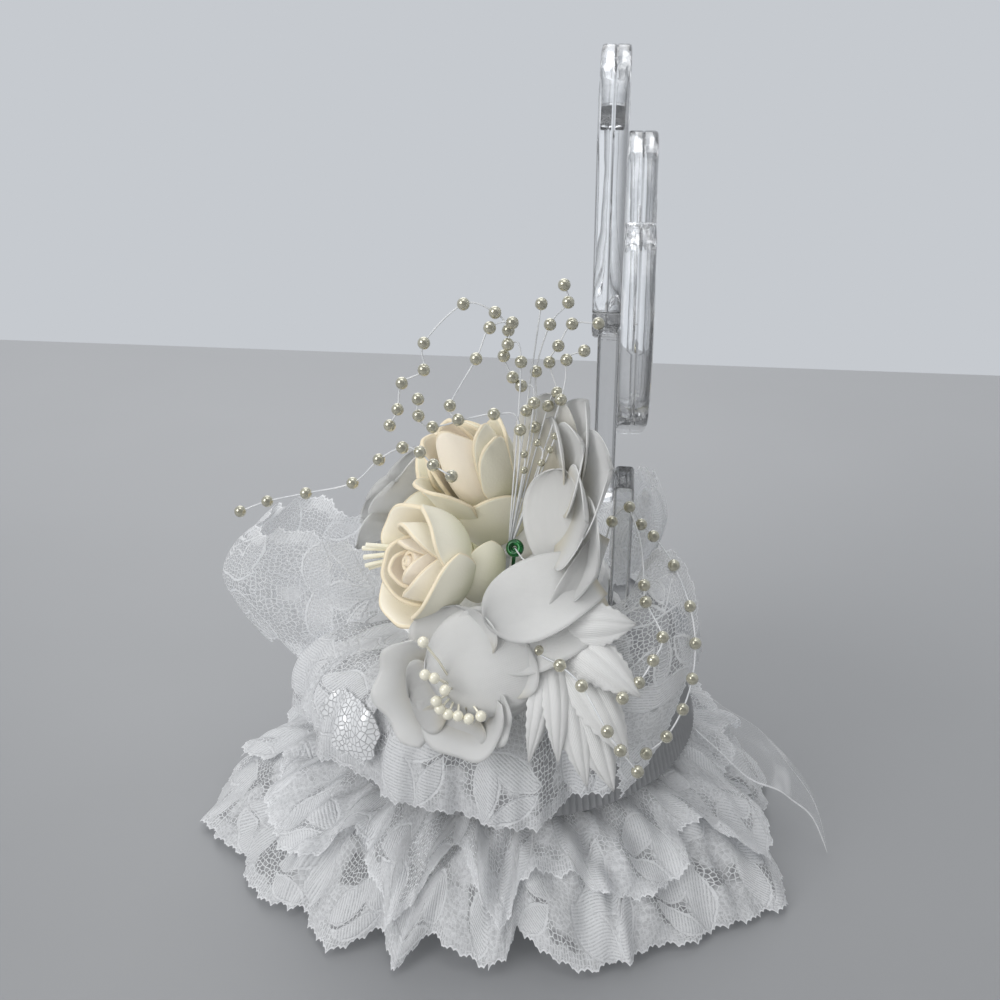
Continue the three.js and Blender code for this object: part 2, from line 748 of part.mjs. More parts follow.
function addPiece(name, shape, finish) {
  const made = shape.getMesh();
  const geometry = new THREE.BufferGeometry();
  geometry.setAttribute("position", new THREE.BufferAttribute(new Float32Array(made.vertProperties), 3));
  geometry.setIndex(new THREE.BufferAttribute(new Uint32Array(made.triVerts), 1));
  geometry.computeVertexNormals();
  const mesh = new THREE.Mesh(geometry, new THREE.MeshStandardMaterial(finish));
  mesh.name = name;
  group.add(mesh);
}

const upperRose = placing(upperRosePlace);
const lowerRose = placing(lowerRosePlace);
const upperBlossom = placing(upperBlossomPlace);
const lowerBlossom = placing(lowerBlossomPlace);
const frontBlossom = placing(frontBlossomPlace);

// Each stem starts under its flower and ends at a point inside the foam.
const stems = [
  { name: "rose_upper_stem", place: upperRose, into: onDrum(3, 5, 16), calyx: calyxShare * upperRoseRadius },
  { name: "rose_lower_stem", place: lowerRose, into: onDrum(17, 3, 12), calyx: calyxShare * lowerRoseRadius },
  { name: "blossom_upper_stem", place: upperBlossom, into: onDrum(17, 23, 8) },
  { name: "blossom_lower_stem", place: lowerBlossom, into: onDrum(24, 4, 6) },
  { name: "blossom_front_stem", place: frontBlossom, into: onDrum(-3, -14, 12) },
];
const stemHoles = stems.map(({ place, into }) => flowerStem(place, into, flowerStemRadius + stemFit));

addPiece("base_pedestal", pedestal(), greyPlastic);
addPiece("fluted_drum", flutedDrum(), greyPlastic);
const otherHoles = [
  rod(pinHead, pinPoint, pinShankRadius + stemFit),
  rod(leafRoot, leafStemEnd, flowerStemRadius + stemFit),
  rod(sprayKnot, sprayStemEnd, sprayStemRadius + stemFit),
  rod(...sideStrandRoot, filamentRadius + stemFit),
];
addPiece("foam_dome", foamDome([...stemHoles, ...otherHoles]), whiteFoam);

addPiece("heart_post", heartPost(), clearAcrylic);
addPiece("heart_stem", heartStem(), clearAcrylic);
const frontHeart = heart(frontHeartLobe, frontHeartCentre, heartTilt, jointPlaneY - heartThickness);
const rearHeart = heart(rearHeartLobe, rearHeartCentre, -heartTilt, jointPlaneY);
addPiece("heart_front", frontHeart, clearAcrylic);
addPiece("heart_rear", rearHeart, clearAcrylic);

addPiece("lace_skirt", laceSkirt(), whiteLace);
addPiece("lace_collar", laceCollar(), whiteLace);
addPiece("lace_loop_front", laceLoop(frontLoop), whiteLace);
addPiece("lace_loop_rear", laceLoop(rearLoop), whiteLace);
addPiece("lace_ruff_far", laceRuff(), whiteLace);
addPiece("lace_flounce_side", laceFlounce(), whiteLace);
addPiece("organza_tail", organzaTail(), whiteLace);

addPiece("rose_upper_bloom", roseBloom(upperRoseRadius, upperRose), creamFoam);
addPiece("rose_lower_bloom", roseBloom(lowerRoseRadius, lowerRose), creamFoam);
for (const { name, place, into, calyx } of stems) {
  addPiece(name, flowerStem(place, into, flowerStemRadius, calyx), paleGreen);
}

const blossoms = [
  { name: "blossom_upper", radius: upperBlossomRadius, place: upperBlossom, cup: upperBlossomCup },
  { name: "blossom_lower", radius: lowerBlossomRadius, place: lowerBlossom, cup: lowerBlossomCup },
  { name: "blossom_front", radius: frontBlossomRadius, place: frontBlossom, cup: frontBlossomCup },
];
for (const { name, radius, place, cup } of blossoms) {
  const cupped = { ...innerLayer, slope: cup };
  addPiece(name + "_outer_layer", blossomLayer(radius, outerLayer, place), whiteSilk);
  addPiece(name + "_inner_layer", blossomLayer(radius, cupped, place), whiteSilk);
}
addPiece("blossom_lower_stamens", stamens(lowerBlossom), pearl);

addPiece("satin_leaf_spray", leafSpray(), whiteSatin);
addPiece("pearl_spray_top", topSpray(), pearl);
addPiece("pearl_strand_side", sideStrand(), pearl);
addPiece("pearl_strand_leaf", leafStrand(), pearl);
addPiece("florist_pin", floristPin(), greenBead);

export default group;
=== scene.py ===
"""Dresses the wedding cake topper: clear hearts, lace, flowers, leaves, pearls and a plain stage.

The file is laid out as a Blender add-on and is run as a script. Shapes are worked out in millimetres in
the frame's own axes, with the table at Z = 0, and become metres when they are put into a mesh.
"""

import math

import bmesh
import bpy
import numpy as np
from bpy.props import FloatProperty, FloatVectorProperty, IntProperty, PointerProperty
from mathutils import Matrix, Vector


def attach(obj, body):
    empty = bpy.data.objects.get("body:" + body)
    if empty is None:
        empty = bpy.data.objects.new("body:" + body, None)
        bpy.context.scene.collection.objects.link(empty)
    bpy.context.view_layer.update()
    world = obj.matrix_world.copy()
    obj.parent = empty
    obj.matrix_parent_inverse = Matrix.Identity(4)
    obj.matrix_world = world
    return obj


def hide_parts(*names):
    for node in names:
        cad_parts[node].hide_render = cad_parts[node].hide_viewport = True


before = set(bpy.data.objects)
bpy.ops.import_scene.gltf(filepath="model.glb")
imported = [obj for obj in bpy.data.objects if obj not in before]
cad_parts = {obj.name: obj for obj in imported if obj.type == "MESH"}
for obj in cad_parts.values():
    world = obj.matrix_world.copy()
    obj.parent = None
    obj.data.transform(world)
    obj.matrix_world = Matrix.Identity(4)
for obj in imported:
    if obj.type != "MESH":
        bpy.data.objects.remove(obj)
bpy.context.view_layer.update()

bl_info = {
    "name": "Wedding cake topper",
    "version": (1, 0, 0),
    "blender": (4, 5, 0),
    "location": "View3D > Sidebar > Topper",
    "description": "Builds the looks of a wedding cake topper round its packed frame",
    "category": "Object",
}

BODY = "root"
MM = 0.001
MERGE_DISTANCE = 2e-6
FULL_TURN = 2 * math.pi

# Heights and radii shared with the frame, in millimetres
DRUM_TOP = 58.0
DRUM_RIM = 30.0
DRUM_RIM_RADIUS = 52.0
DRUM_TOP_RADIUS = 44.5
JOINT_PLANE = 27.1


# Sizes and colours that a user would change

def length_property(name, description, default):
    return FloatProperty(name=name, description=description, default=default, min=0.0, unit="LENGTH")


def colour_property(name, description, default):
    return FloatVectorProperty(
        name=name, description=description, default=default, size=3, min=0.0, max=1.0, subtype="COLOR"
    )


class TopperSizes(bpy.types.PropertyGroup):
    """Sizes of the topper's pieces."""

    pearl_radius: length_property("Pearl radius", "Radius of a spray pearl", 0.0015)
    seed_radius: length_property("Seed radius", "Radius of a seed pearl", 0.00095)
    filament_radius: length_property("Filament radius", "Radius of the clear thread", 0.00021)
    rose_foam: length_property("Rose foam", "Thickness of a rose petal", 0.0009)
    silk: length_property("Silk", "Thickness of a silk petal", 0.0003)
    flutes: IntProperty(name="Flutes", description="Flutes round the drum", default=180, min=3)


class TopperColours(bpy.types.PropertyGroup):
    """Colours of the topper's materials."""

    lace: colour_property("Lace", "White of the lace", (0.88, 0.89, 0.905))
    silk: colour_property("Silk", "White of the silk petals", (0.93, 0.93, 0.92))
    silk_depth: colour_property("Silk depth", "Warm tone at the root of a petal", (0.78, 0.70, 0.50))
    cream: colour_property("Cream", "Cream of the roses", (0.89, 0.855, 0.715))
    peach: colour_property("Peach", "Peach at the heart of the roses", (0.96, 0.87, 0.74))
    green: colour_property("Pale green", "Pale green at the base of the roses", (0.77, 0.76, 0.52))
    rim: colour_property("Petal rim", "Cut edge of the rose foam", (0.86, 0.74, 0.53))
    pearl: colour_property("Pearl", "Champagne of the pearls", (0.64, 0.615, 0.49))
    bead: colour_property("Bead", "Green of the pin's head", (0.02, 0.20, 0.05))
    acrylic: colour_property("Acrylic", "Tint of the clear hearts", (0.98, 0.985, 0.99))
    drum: colour_property("Drum", "Grey of the fluted drum", (0.31, 0.315, 0.325))
    table: colour_property("Table", "Grey of the table", (0.29, 0.295, 0.305))
    wall: colour_property("Wall", "Pale wall behind the table", (0.565, 0.59, 0.625))


# Materials

class Value:
    """A number socket: an expression on it adds the Math nodes that work it out."""

    def __init__(self, finish, socket):
        self.finish = finish
        self.socket = socket

    def maths(self, operation, *numbers):
        node = self.finish.node("ShaderNodeMath", {"operation": operation}, dict(enumerate(numbers)))
        return Value(self.finish, node.outputs[0])

    def __add__(self, other):
        return self.maths("ADD", self, other)

    __radd__ = __add__

    def __sub__(self, other):
        return self.maths("SUBTRACT", self, other)

    def __rsub__(self, other):
        return self.maths("SUBTRACT", other, self)

    def __mul__(self, other):
        return self.maths("MULTIPLY", self, other)

    __rmul__ = __mul__

    def __truediv__(self, other):
        return self.maths("DIVIDE", self, other)

    def __pow__(self, other):
        return self.maths("POWER", self, other)

    def __abs__(self):
        return self.maths("ABSOLUTE", self)

    def sine(self):
        return self.maths("SINE", self)

    def cosine(self):
        return self.maths("COSINE", self)

    def floor(self):
        return self.maths("FLOOR", self)

    def fraction(self):
        return self.maths("FRACT", self)

    def least(self, other):
        return self.maths("MINIMUM", self, other)

    def most(self, other):
        return self.maths("MAXIMUM", self, other)

    def rising(self, low, high):
        """0 below low, 1 above high and a smooth climb between them."""
        node = self.finish.node(
            "ShaderNodeMapRange",
            {"interpolation_type": "SMOOTHSTEP"},
            {"Value": self, "From Min": low, "From Max": high},
        )
        return Value(self.finish, node.outputs[0])


class Nodes:
    """A node tree; node() adds any node to it."""

    def __init__(self, tree):
        self.tree = tree

    def node(self, kind, settings=(), sockets=()):
        node = self.tree.nodes.new(kind)
        for name, setting in dict(settings).items():
            setattr(node, name, setting)
        self.feed(node, sockets)
        return node

    def feed(self, node, sockets):
        for key, given in dict(sockets).items():
            source = given.socket if isinstance(given, Value) else given
            if isinstance(source, bpy.types.NodeSocket):
                self.tree.links.new(source, node.inputs[key])
            else:
                node.inputs[key].default_value = source

    def mix(self, factor, first, second):
        """The first colour where the factor is 0 and the second where it is 1."""
        colours = {6: opaque(first), 7: opaque(second)}
        node = self.node("ShaderNodeMix", {"data_type": "RGBA"}, {0: factor, **colours})
        return node.outputs[2]

    def blend(self, factor, first, second):
        """The first shader where the factor is 0 and the second where it is 1."""
        shaders = {1: first.outputs[0], 2: second.outputs[0]}
        return self.node("ShaderNodeMixShader", sockets={0: factor, **shaders}).outputs[0]

    def parts(self, vector):
        """The three parts of a vector or a colour."""
        split = self.node("ShaderNodeSeparateXYZ", sockets={0: vector})
        return [Value(self, part) for part in split.outputs]


class Finish(Nodes):
    """A material and its shader."""

    def __init__(self, name):
        self.material = bpy.data.materials.new(name)
        self.material.use_nodes = True
        super().__init__(self.material.node_tree)
        self.shader = self.tree.nodes["Principled BSDF"]

    def surface(self, **sockets):
        """Feeds the shader; Base_Color stands for Base Color."""
        self.feed(self.shader, {name.replace("_", " "): given for name, given in sockets.items()})

    def position(self):
        return self.node("ShaderNodeTexCoord").outputs["Object"]

    def cloth(self):
        return self.node("ShaderNodeUVMap", {"uv_map": "flat"}).outputs[0]

    def share(self):
        """The two flat coordinates of a petal, from 0 to 1."""
        return self.parts(self.cloth())[:2]

    def flat(self):
        """The two flat coordinates of a sheet, in millimetres."""
        u, v = self.share()
        return u / MM, v / MM

    def attribute(self, name):
        return Value(self, self.node("ShaderNodeAttribute", {"attribute_name": name}).outputs["Fac"])

    def noise(self, vector, scale, detail=2.0):
        node = self.node("ShaderNodeTexNoise", sockets={"Vector": vector, "Scale": scale, "Detail": detail})
        return Value(self, node.outputs[0])

    def grain(self, scale, detail=2.0):
        """Noise through the piece itself."""
        return self.noise(self.position(), scale, detail)

    def drift(self, scale):
        """Noise over the flat cloth."""
        return self.noise(self.cloth(), scale)

    def cells(self, feature, output, scale, randomness=1.0):
        """One output of a flat pattern of cells on the cloth."""
        node = self.node(
            "ShaderNodeTexVoronoi",
            {"feature": feature, "voronoi_dimensions": "2D"},
            {"Vector": self.cloth(), "Scale": scale, "Randomness": randomness},
        )
        return node.outputs[output]

    def glow_through(self, share, colour):
        """Lets a share of the light through to the other side of a thin piece."""
        through = self.node("ShaderNodeBsdfTranslucent", sockets={"Color": opaque(colour)})
        both = self.blend(share, self.shader, through)
        self.feed(self.tree.nodes["Material Output"], {"Surface": both})

    def bump(self, height, distance):
        node = self.node("ShaderNodeBump", sockets={"Height": height, "Distance": distance})
        self.surface(Normal=node.outputs[0])


def opaque(colour):
    return colour if isinstance(colour, bpy.types.NodeSocket) else (*colour, 1.0)


def shaded(colour, share):
    """The colour times a share: darker below 1 and lighter above it."""
    return tuple(share * part for part in colour)


def acrylic_finish(colours):
    """Clear acrylic, polished, with faint smears, and with painted shade that darkens its rounded edges and
    the groove between its layers, and faintly the faces of the stem and post.
    """
    finish = Finish("clear_acrylic")
    smear = finish.grain(90.0)
    # Painted shade: the whorl darkens the colour on the edges and the groove, standing in for the dark lines
    # that refraction shows there
    edge = finish.attribute("whorl")
    finish.surface(
        Base_Color=finish.mix(edge * 0.75, colours.acrylic, shaded(colours.acrylic, 0.15)),
        Transmission_Weight=1.0,
        IOR=1.49,
        Alpha=0.94,
        Roughness=0.01 + smear.rising(0.5, 0.8) * 0.03,
    )
    finish.bump(finish.grain(60.0), 0.0004)
    return finish


def drum_finish(colours):
    """Frosted grey plastic with a fine grain."""
    finish = Finish("grey_plastic")
    grain = finish.grain(500.0)
    finish.surface(
        Base_Color=finish.mix(grain, shaded(colours.drum, 0.85), colours.drum),
        Roughness=0.3 + grain * 0.2,
        Coat_Weight=0.2,
    )
    finish.bump(grain, 0.0001)
    return finish


def plain_finish(name, colour, grain_scale, roughness):
    """A matte moulded or foamed surface: one colour that drifts a little, with grain."""
    finish = Finish(name)
    grain = finish.grain(grain_scale, 4.0)
    finish.surface(
        Base_Color=finish.mix(grain.rising(0.3, 0.7), shaded(colour, 0.9), colour),
        Roughness=roughness + (grain - 0.5) * 0.2,
    )
    finish.bump(grain, 0.0002)
    return finish


def lace_finish(colours):
    """Net lace: a close veil with open windows of net, satin leaf sprigs, a striped band and a corded edge.

    The net is where a point lies near the edge of its cell, and noise picks where it opens into windows.
    A leaf is where the distance from its middle line is less than its half width times one less the
    square of the place along it. The edge is cut on a row of half waves, and the second flat coordinate
    runs from 0 at the edge into the cloth.
    """
    finish = Finish("white_lace")
    u, v = finish.flat()
    cloud = finish.drift(55.0)
    fleck = finish.drift(900.0)
    from_cell_edge = Value(finish, finish.cells("DISTANCE_TO_EDGE", "Distance", 780.0, 0.75))
    net = 1.0 - from_cell_edge.rising(0.06, 0.16)
    opening = finish.attribute("whorl")
    window = (cloud + opening * 0.2).rising(0.49, 0.55)

    cell_width = 27.0
    cell_height = 23.0
    row = (v / cell_height).floor()
    column = u / cell_width + (row * 0.5).fraction()
    whole = finish.node("ShaderNodeCombineXYZ", sockets={0: column.floor(), 1: row})
    chance = finish.node("ShaderNodeTexWhiteNoise", {"noise_dimensions": "2D"}, {"Vector": whole.outputs[0]})
    turn = (Value(finish, chance.outputs["Value"]) - 0.5) * 2.2
    x = (column.fraction() - 0.5) * cell_width
    y = ((v / cell_height).fraction() - 0.5) * cell_height
    x, y = x * turn.cosine() + y * turn.sine(), y * turn.cosine() - x * turn.sine()

    fray = (fleck - 0.5) * 1.1 + (cloud - 0.5) * 2.5

    def leaf(centre_x, centre_y, tilt, half_length, half_width):
        along = (x - centre_x) * math.cos(tilt) + (y - centre_y) * math.sin(tilt)
        aside = (y - centre_y) * math.cos(tilt) - (x - centre_x) * math.sin(tilt)
        return abs(aside) - half_width * (1.0 - (along / half_length) ** 2.0) + fray

    sprig = leaf(-4.2, 1.6, 1.05, 9.4, 4.2)
    sprig = sprig.least(leaf(4.6, 1.8, 2.2, 8.6, 3.6))
    sprig = sprig.least(leaf(0.4, -6.6, 0.1, 7.4, 2.6))
    leaves = (1.0 - sprig.rising(-0.1, 0.15)) * (1.0 - 0.9 * opening)
    cord = 1.0 - abs(sprig).rising(0.25, 0.5)

    scallop_width = 5.0
    tooth_width = 1.7
    thread_pitch = 0.8
    strand_pitch = 0.9
    scallops = 1.1 * abs((u * (math.pi / scallop_width)).sine())
    teeth = 0.6 * abs((u * (math.pi / tooth_width)).sine())
    rise = v - scallops - teeth
    kept = rise.rising(0.0, 0.15)
    edge = 1.0 - rise.rising(0.5, 0.8)
    thread = 0.5 + 0.5 * (u * (FULL_TURN / thread_pitch) + cloud * 20.0).sine()
    band = (1.0 - rise.rising(4.0, 5.0)) * (0.5 + 0.4 * thread)
    strand = 0.5 + 0.5 * ((x + 0.5 * y) * (FULL_TURN / strand_pitch) + cloud * 9.0).sine()

    veil = 0.5 + 0.5 * fleck - window * (0.5 + 0.3 * opening)
    cover = veil.most(net * 0.95).most(leaves * (1.0 - 0.4 * strand**3.0)).most(cord).most(band).most(edge)
    raised = leaves * (0.5 + 0.5 * strand) + cord * 0.8 + net * 0.3 + edge * 0.6 + fleck * 0.5
    # Painted shade: where the net opens, the veil and the cords are painted darker
    veil_tone = fleck.rising(0.35, 0.65) * (0.8 - 0.6 * opening)
    cord_tone = cord * (1.0 - 0.6 * opening)
    tone = veil_tone.most(cord_tone).most(leaves * (0.9 - 0.6 * strand)).most(edge)
    finish.surface(
        Base_Color=finish.mix(tone, shaded(colours.lace, 0.8), colours.lace),
        Alpha=cover * kept,
        Roughness=0.8 - 0.45 * leaves,
        Sheen_Weight=0.1,
    )
    finish.glow_through(cover * kept * 0.3, colours.lace)
    finish.bump(raised, 0.00016)
    return finish


def foil_finish(colours):
    """Crackled foil on lace: small flat shining cells, some duller than others, with dull seams."""
    finish = Finish("foil_lace")
    cell_scale = 720.0
    from_cell_edge = Value(finish, finish.cells("DISTANCE_TO_EDGE", "Distance", cell_scale))
    seam = 1.0 - from_cell_edge.rising(0.03, 0.1)
    shine = finish.parts(finish.cells("F1", "Color", cell_scale))[0]
    inside = finish.attribute("whorl") + (finish.drift(180.0) - 0.5) * 0.6
    kept = inside.rising(0.2, 0.25)
    finish.surface(
        Base_Color=finish.mix(seam.most(shine * 0.5), colours.lace, shaded(colours.lace, 0.72)),
        Alpha=kept * (1.0 - 0.15 * seam),
        Metallic=0.3 - 0.3 * seam,
        Roughness=0.25 + 0.3 * shine,
    )
    finish.bump(finish.drift(420.0) + shine * 0.5 - seam, 0.0002)
    return finish


def organza_finish(colours):
    """Sheer white cloth: fine crossed threads that let most of the light by, and a rolled edge."""
    finish = Finish("organza")
    u, v = finish.flat()
    cloud = finish.drift(60.0)
    thread_turn = FULL_TURN / 0.7
    weave = (u * thread_turn).sine() * (v * thread_turn).sine()
    edge = 1.0 - v.rising(0.35, 0.6)
    finish.surface(
        Base_Color=finish.mix(cloud, shaded(colours.lace, 0.95), colours.lace),
        Alpha=(0.1 + 0.08 * weave + 0.4 * cloud.rising(0.48, 0.64)).most(edge * 0.8),
        Roughness=0.4 + 0.2 * cloud,
        Sheen_Weight=0.2,
    )
    finish.bump(weave, 0.00008)
    return finish


def rose_finish(colours):
    """Craft foam: pale green at the base, cream above, peach in the heart and a darker cut rim."""
    finish = Finish("cream_foam")
    u, v = finish.share()
    whorl = finish.attribute("whorl")
    cloud = finish.grain(130.0)
    upper = finish.mix(whorl.rising(0.0, 0.75), colours.peach, colours.cream)
    climb = v + (cloud - 0.5) * 0.25
    greened = finish.mix(climb.rising(0.15, 0.75) + (1.0 - whorl) * 0.6, colours.green, upper)
    rim = abs(u - 0.5).rising(0.475, 0.495).most(v.rising(0.965, 0.99))
    finish.surface(
        Base_Color=finish.mix(rim * 0.8, greened, colours.rim),
        Roughness=0.6 + 0.15 * cloud,
        Sheen_Weight=0.1,
    )
    finish.bump(finish.grain(1400.0, 3.0), 0.00006)
    return finish


def silk_finish(colours):
    """Woven silk: a fine weave, a warm tone towards the root and faint streaks along the petal."""
    finish = Finish("white_silk")
    u, v = finish.share()
    cloud = finish.grain(110.0)
    weave = (u * (FULL_TURN * 55.0)).sine() * (v * (FULL_TURN * 60.0)).sine()
    veins = 0.5 + 0.5 * ((u - 0.5) * 60.0).sine()
    white = finish.mix(cloud.rising(0.3, 0.7), shaded(colours.silk, 0.95), colours.silk)
    warmth = (1.0 - v.rising(0.0, finish.attribute("whorl") * 0.45)) * 0.8
    finish.surface(
        Base_Color=finish.mix(warmth, white, colours.silk_depth),
        Roughness=0.6 - 0.1 * weave,
        Sheen_Weight=0.25,
    )
    finish.glow_through(0.42, colours.silk)
    finish.bump(weave * 0.6 + veins * 0.5, 0.00008)
    return finish


def satin_finish(colours):
    """Pleated satin: a soft gloss with thread lines along the leaf."""
    finish = Finish("white_satin")
    u = finish.share()[0]
    cloud = finish.grain(160.0)
    thread = (u * (FULL_TURN * 26.0) + cloud * 4.0).sine()
    finish.surface(
        Base_Color=finish.mix(0.5 + 0.5 * thread, shaded(colours.silk, 0.86), shaded(colours.silk, 0.92)),
        Roughness=0.4 + 0.08 * thread,
        Sheen_Weight=0.2,
    )
    finish.glow_through(0.2, colours.silk)
    finish.bump(thread, 0.00003)
    return finish


def pearl_finish(colours):
    """Pearl lacquer: champagne that drifts from bead to bead under a gloss, and cream on the stamens."""
    finish = Finish("pearl")
    drift = finish.grain(260.0)
    lustre = finish.attribute("whorl")
    champagne = finish.mix(drift.rising(0.35, 0.65), shaded(colours.pearl, 0.86), colours.pearl)
    finish.surface(
        Base_Color=finish.mix(lustre, colours.cream, champagne),
        Metallic=0.15 + 0.55 * lustre,
        Roughness=0.1 + 0.06 * drift,
        Coat_Weight=1.0,
    )
    return finish


def thread_finish(colours):
    """Clear nylon thread, pale and glossy, that thins out to see-through in places; its colour drifts between
    its own white and the wall seen through it, painted on a tenth lighter as a painted sheen.
    """
    finish = Finish("clear_thread")
    drift = finish.grain(120.0)
    # Partly painted light: the wall's colour a tenth lighter is a painted see-through and sheen, mixed with
    # the thread's own white
    finish.surface(
        Base_Color=finish.mix(drift, shaded(colours.wall, 1.1), colours.silk),
        Alpha=0.7 + 0.3 * drift,
        Roughness=0.2 + 0.1 * drift,
    )
    return finish


def bead_finish(colours):
    """Green foil-lined glass of the pin's head, deep in colour and brightly coated."""
    finish = Finish("green_bead")
    drift = finish.grain(700.0)
    finish.surface(
        Base_Color=finish.mix(drift.rising(0.4, 0.6), shaded(colours.bead, 0.4), colours.bead),
        Metallic=0.6,
        Roughness=0.12 + 0.1 * drift,
        Coat_Weight=0.8,
    )
    return finish


FINISHES = {
    "clear_acrylic": acrylic_finish,
    "grey_plastic": drum_finish,
    "white_lace": lace_finish,
    "foil_lace": foil_finish,
    "organza": organza_finish,
    "cream_foam": rose_finish,
    "white_silk": silk_finish,
    "white_satin": satin_finish,
    "pearl": pearl_finish,
    "clear_thread": thread_finish,
    "green_bead": bead_finish,
    "white_plastic": lambda colours: plain_finish("white_plastic", colours.silk, 300.0, 0.5),
    "white_foam": lambda colours: plain_finish("white_foam", colours.silk, 900.0, 0.9),
    "stem_green": lambda colours: plain_finish("stem_green", colours.green, 600.0, 0.65),
}


def material_of(name, scene):
    """The named material, made the first time that it is asked for."""
    made = bpy.data.materials.get(name + ".finish")
    if made is None:
        made = FINISHES[name](scene.topper_colours).material
        made.name = name + ".finish"
    return made


# Meshes

def grid_faces(rows, columns):
    """The quads of a grid of points that is stored row by row."""
    row, column = np.meshgrid(np.arange(rows - 1), np.arange(columns - 1), indexing="ij")
    first = (row * columns + column).ravel()
    return np.stack([first, first + 1, first + columns + 1, first + columns], axis=1)


def patch(points, flat=None, whorl=1.0):
    """A grid of points in millimetres with its flat coordinates, which by default run from 0 to 1.

    The whorl is a share that a material may read: how far out a petal stands, how much painted shade darkens
    a clear edge, how far a net opens and how much painted shade darkens its threads, or how lustrous a bead
    is.
    """
    rows, columns = points.shape[:2]
    if flat is None:
        along, across = np.meshgrid(np.linspace(0, 1, rows), np.linspace(0, 1, columns), indexing="ij")
        flat = np.stack([across, along], axis=-1) / MM
    return {"points": points, "flat": flat, "whorl": whorl}


def mesh_of(name, patches, closed):
    """One mesh of several grids, whose meeting edges and gathered points are merged."""
    starts = np.cumsum([0] + [p["points"].shape[0] * p["points"].shape[1] for p in patches])
    points = np.concatenate([p["points"].reshape(-1, 3) for p in patches]) * MM
    flat = np.concatenate([p["flat"].reshape(-1, 2) for p in patches]) * MM
    whorl = np.concatenate([np.broadcast_to(p["whorl"], p["points"].shape[:2]).ravel() for p in patches])
    faces = np.concatenate([s + grid_faces(*p["points"].shape[:2]) for s, p in zip(starts, patches)])
    mesh = bpy.data.meshes.new(name)
    mesh.vertices.add(len(points))
    mesh.vertices.foreach_set("co", points.ravel())
    mesh.loops.add(faces.size)
    mesh.loops.foreach_set("vertex_index", faces.ravel())
    mesh.polygons.add(len(faces))
    mesh.polygons.foreach_set("loop_start", np.arange(0, faces.size, 4))
    mesh.update(calc_edges=True)
    mesh.uv_layers.new(name="flat").data.foreach_set("uv", flat[faces.ravel()].ravel())
    mesh.attributes.new("whorl", "FLOAT", "POINT").data.foreach_set("value", whorl)
    work = bmesh.new()
    work.from_mesh(mesh)
    bmesh.ops.remove_doubles(work, verts=work.verts, dist=MERGE_DISTANCE)
    if closed:
        bmesh.ops.recalc_face_normals(work, faces=work.faces)
    work.to_mesh(mesh)
    work.free()
    mesh.shade_smooth()
    return mesh


def add_piece(context, name, patches, material, node, closed=False, thickness=0.0, sharp=None):
    """Puts grids into the scene as one piece that rides on the body and stands for the named node."""
    mesh = mesh_of(name, patches, closed)
    mesh.materials.append(material_of(material, context.scene))
    if sharp is not None:
        mesh.set_sharp_from_angle(angle=sharp)
    piece = bpy.data.objects.new(name, mesh)
    context.scene.collection.objects.link(piece)
    if thickness:
        wall = piece.modifiers.new("thickness", "SOLIDIFY")
        wall.thickness = thickness
        wall.offset = 0.0
    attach(piece, BODY)
    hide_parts(node)
    return piece


def coat_node(context, material, name):
    """Gives a node that is carried over from the frame a material."""
    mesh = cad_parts[name].data
    mesh.materials.clear()
    mesh.materials.append(material_of(material, context.scene))


# Shapes

def over_columns(start, end, count):
    """Even steps along the columns of a grid."""
    return np.linspace(start, end, count)[None, :]


def down_rows(start, end, count):
    """Even steps down the rows of a grid."""
    return np.linspace(start, end, count)[:, None]


def round_axis(radius, angle, height):
    """Points at a radius, an angle and a height round an upright axis."""
    return np.stack([radius * np.cos(angle), radius * np.sin(angle), height + 0 * angle], axis=-1)


def unit(vectors):
    vectors = np.asarray(vectors, float)
    return vectors / np.linalg.norm(vectors, axis=-1, keepdims=True)


def bend(*guides):
    """A function for the cubic curve from the first guide to the last that leans towards the two between."""
    a, b, c, d = (np.array(guide, float) for guide in guides)

    def point(t):
        t = np.asarray(t, float)[..., None]
        rest = 1 - t
        return a * rest**3 + 3 * b * rest**2 * t + 3 * c * rest * t**2 + d * t**3

    return point


def smooth_route(points):
    """A curve through points: on each span the usual cubic blend of the four nearest points."""
    steps = 7
    points = np.asarray(points, float)
    wide = np.vstack([2 * points[0] - points[1], points, 2 * points[-1] - points[-2]])
    a, b, c, d = (wide[i:len(wide) - 3 + i, None, :] for i in range(4))
    t = np.linspace(0, 1, steps, endpoint=False)[None, :, None]
    cubic = 2 * b + (c - a) * t + (2 * a - 5 * b + 4 * c - d) * t**2 + (3 * b - a - 3 * c + d) * t**3
    return np.vstack([cubic.reshape(-1, 3) / 2, points[-1:]])


def tube(path, radius, sides, whorl=1.0):
    """A circle carried along a path, square to it, and gathered to a point at both ends."""
    path = np.asarray(path, float)
    along = unit(np.gradient(path, axis=0))
    wished = np.where(np.abs(along[:, :1]) < 0.9, [[1.0, 0, 0]], [[0, 1.0, 0]])
    across = unit(wished - np.sum(wished * along, axis=1, keepdims=True) * along)
    third = np.cross(along, across)
    angle = np.linspace(0, FULL_TURN, sides + 1)[None, :, None]
    circle = across[:, None] * np.cos(angle) + third[:, None] * np.sin(angle)
    body = path[:, None] + radius * circle
    ends = np.broadcast_to(path[[0, -1], None], (2, sides + 1, 3))
    return patch(np.concatenate([ends[:1], body, ends[1:]]), whorl=whorl)


def ball(centre, radius, whorl=1.0):
    """A sphere in rings from pole to pole."""
    polar = down_rows(0, math.pi, 9)
    round_angle = over_columns(0, FULL_TURN, 15)
    points = round_axis(np.sin(polar), round_angle, np.cos(polar))
    return patch(np.asarray(centre, float) + radius * points, whorl=whorl)


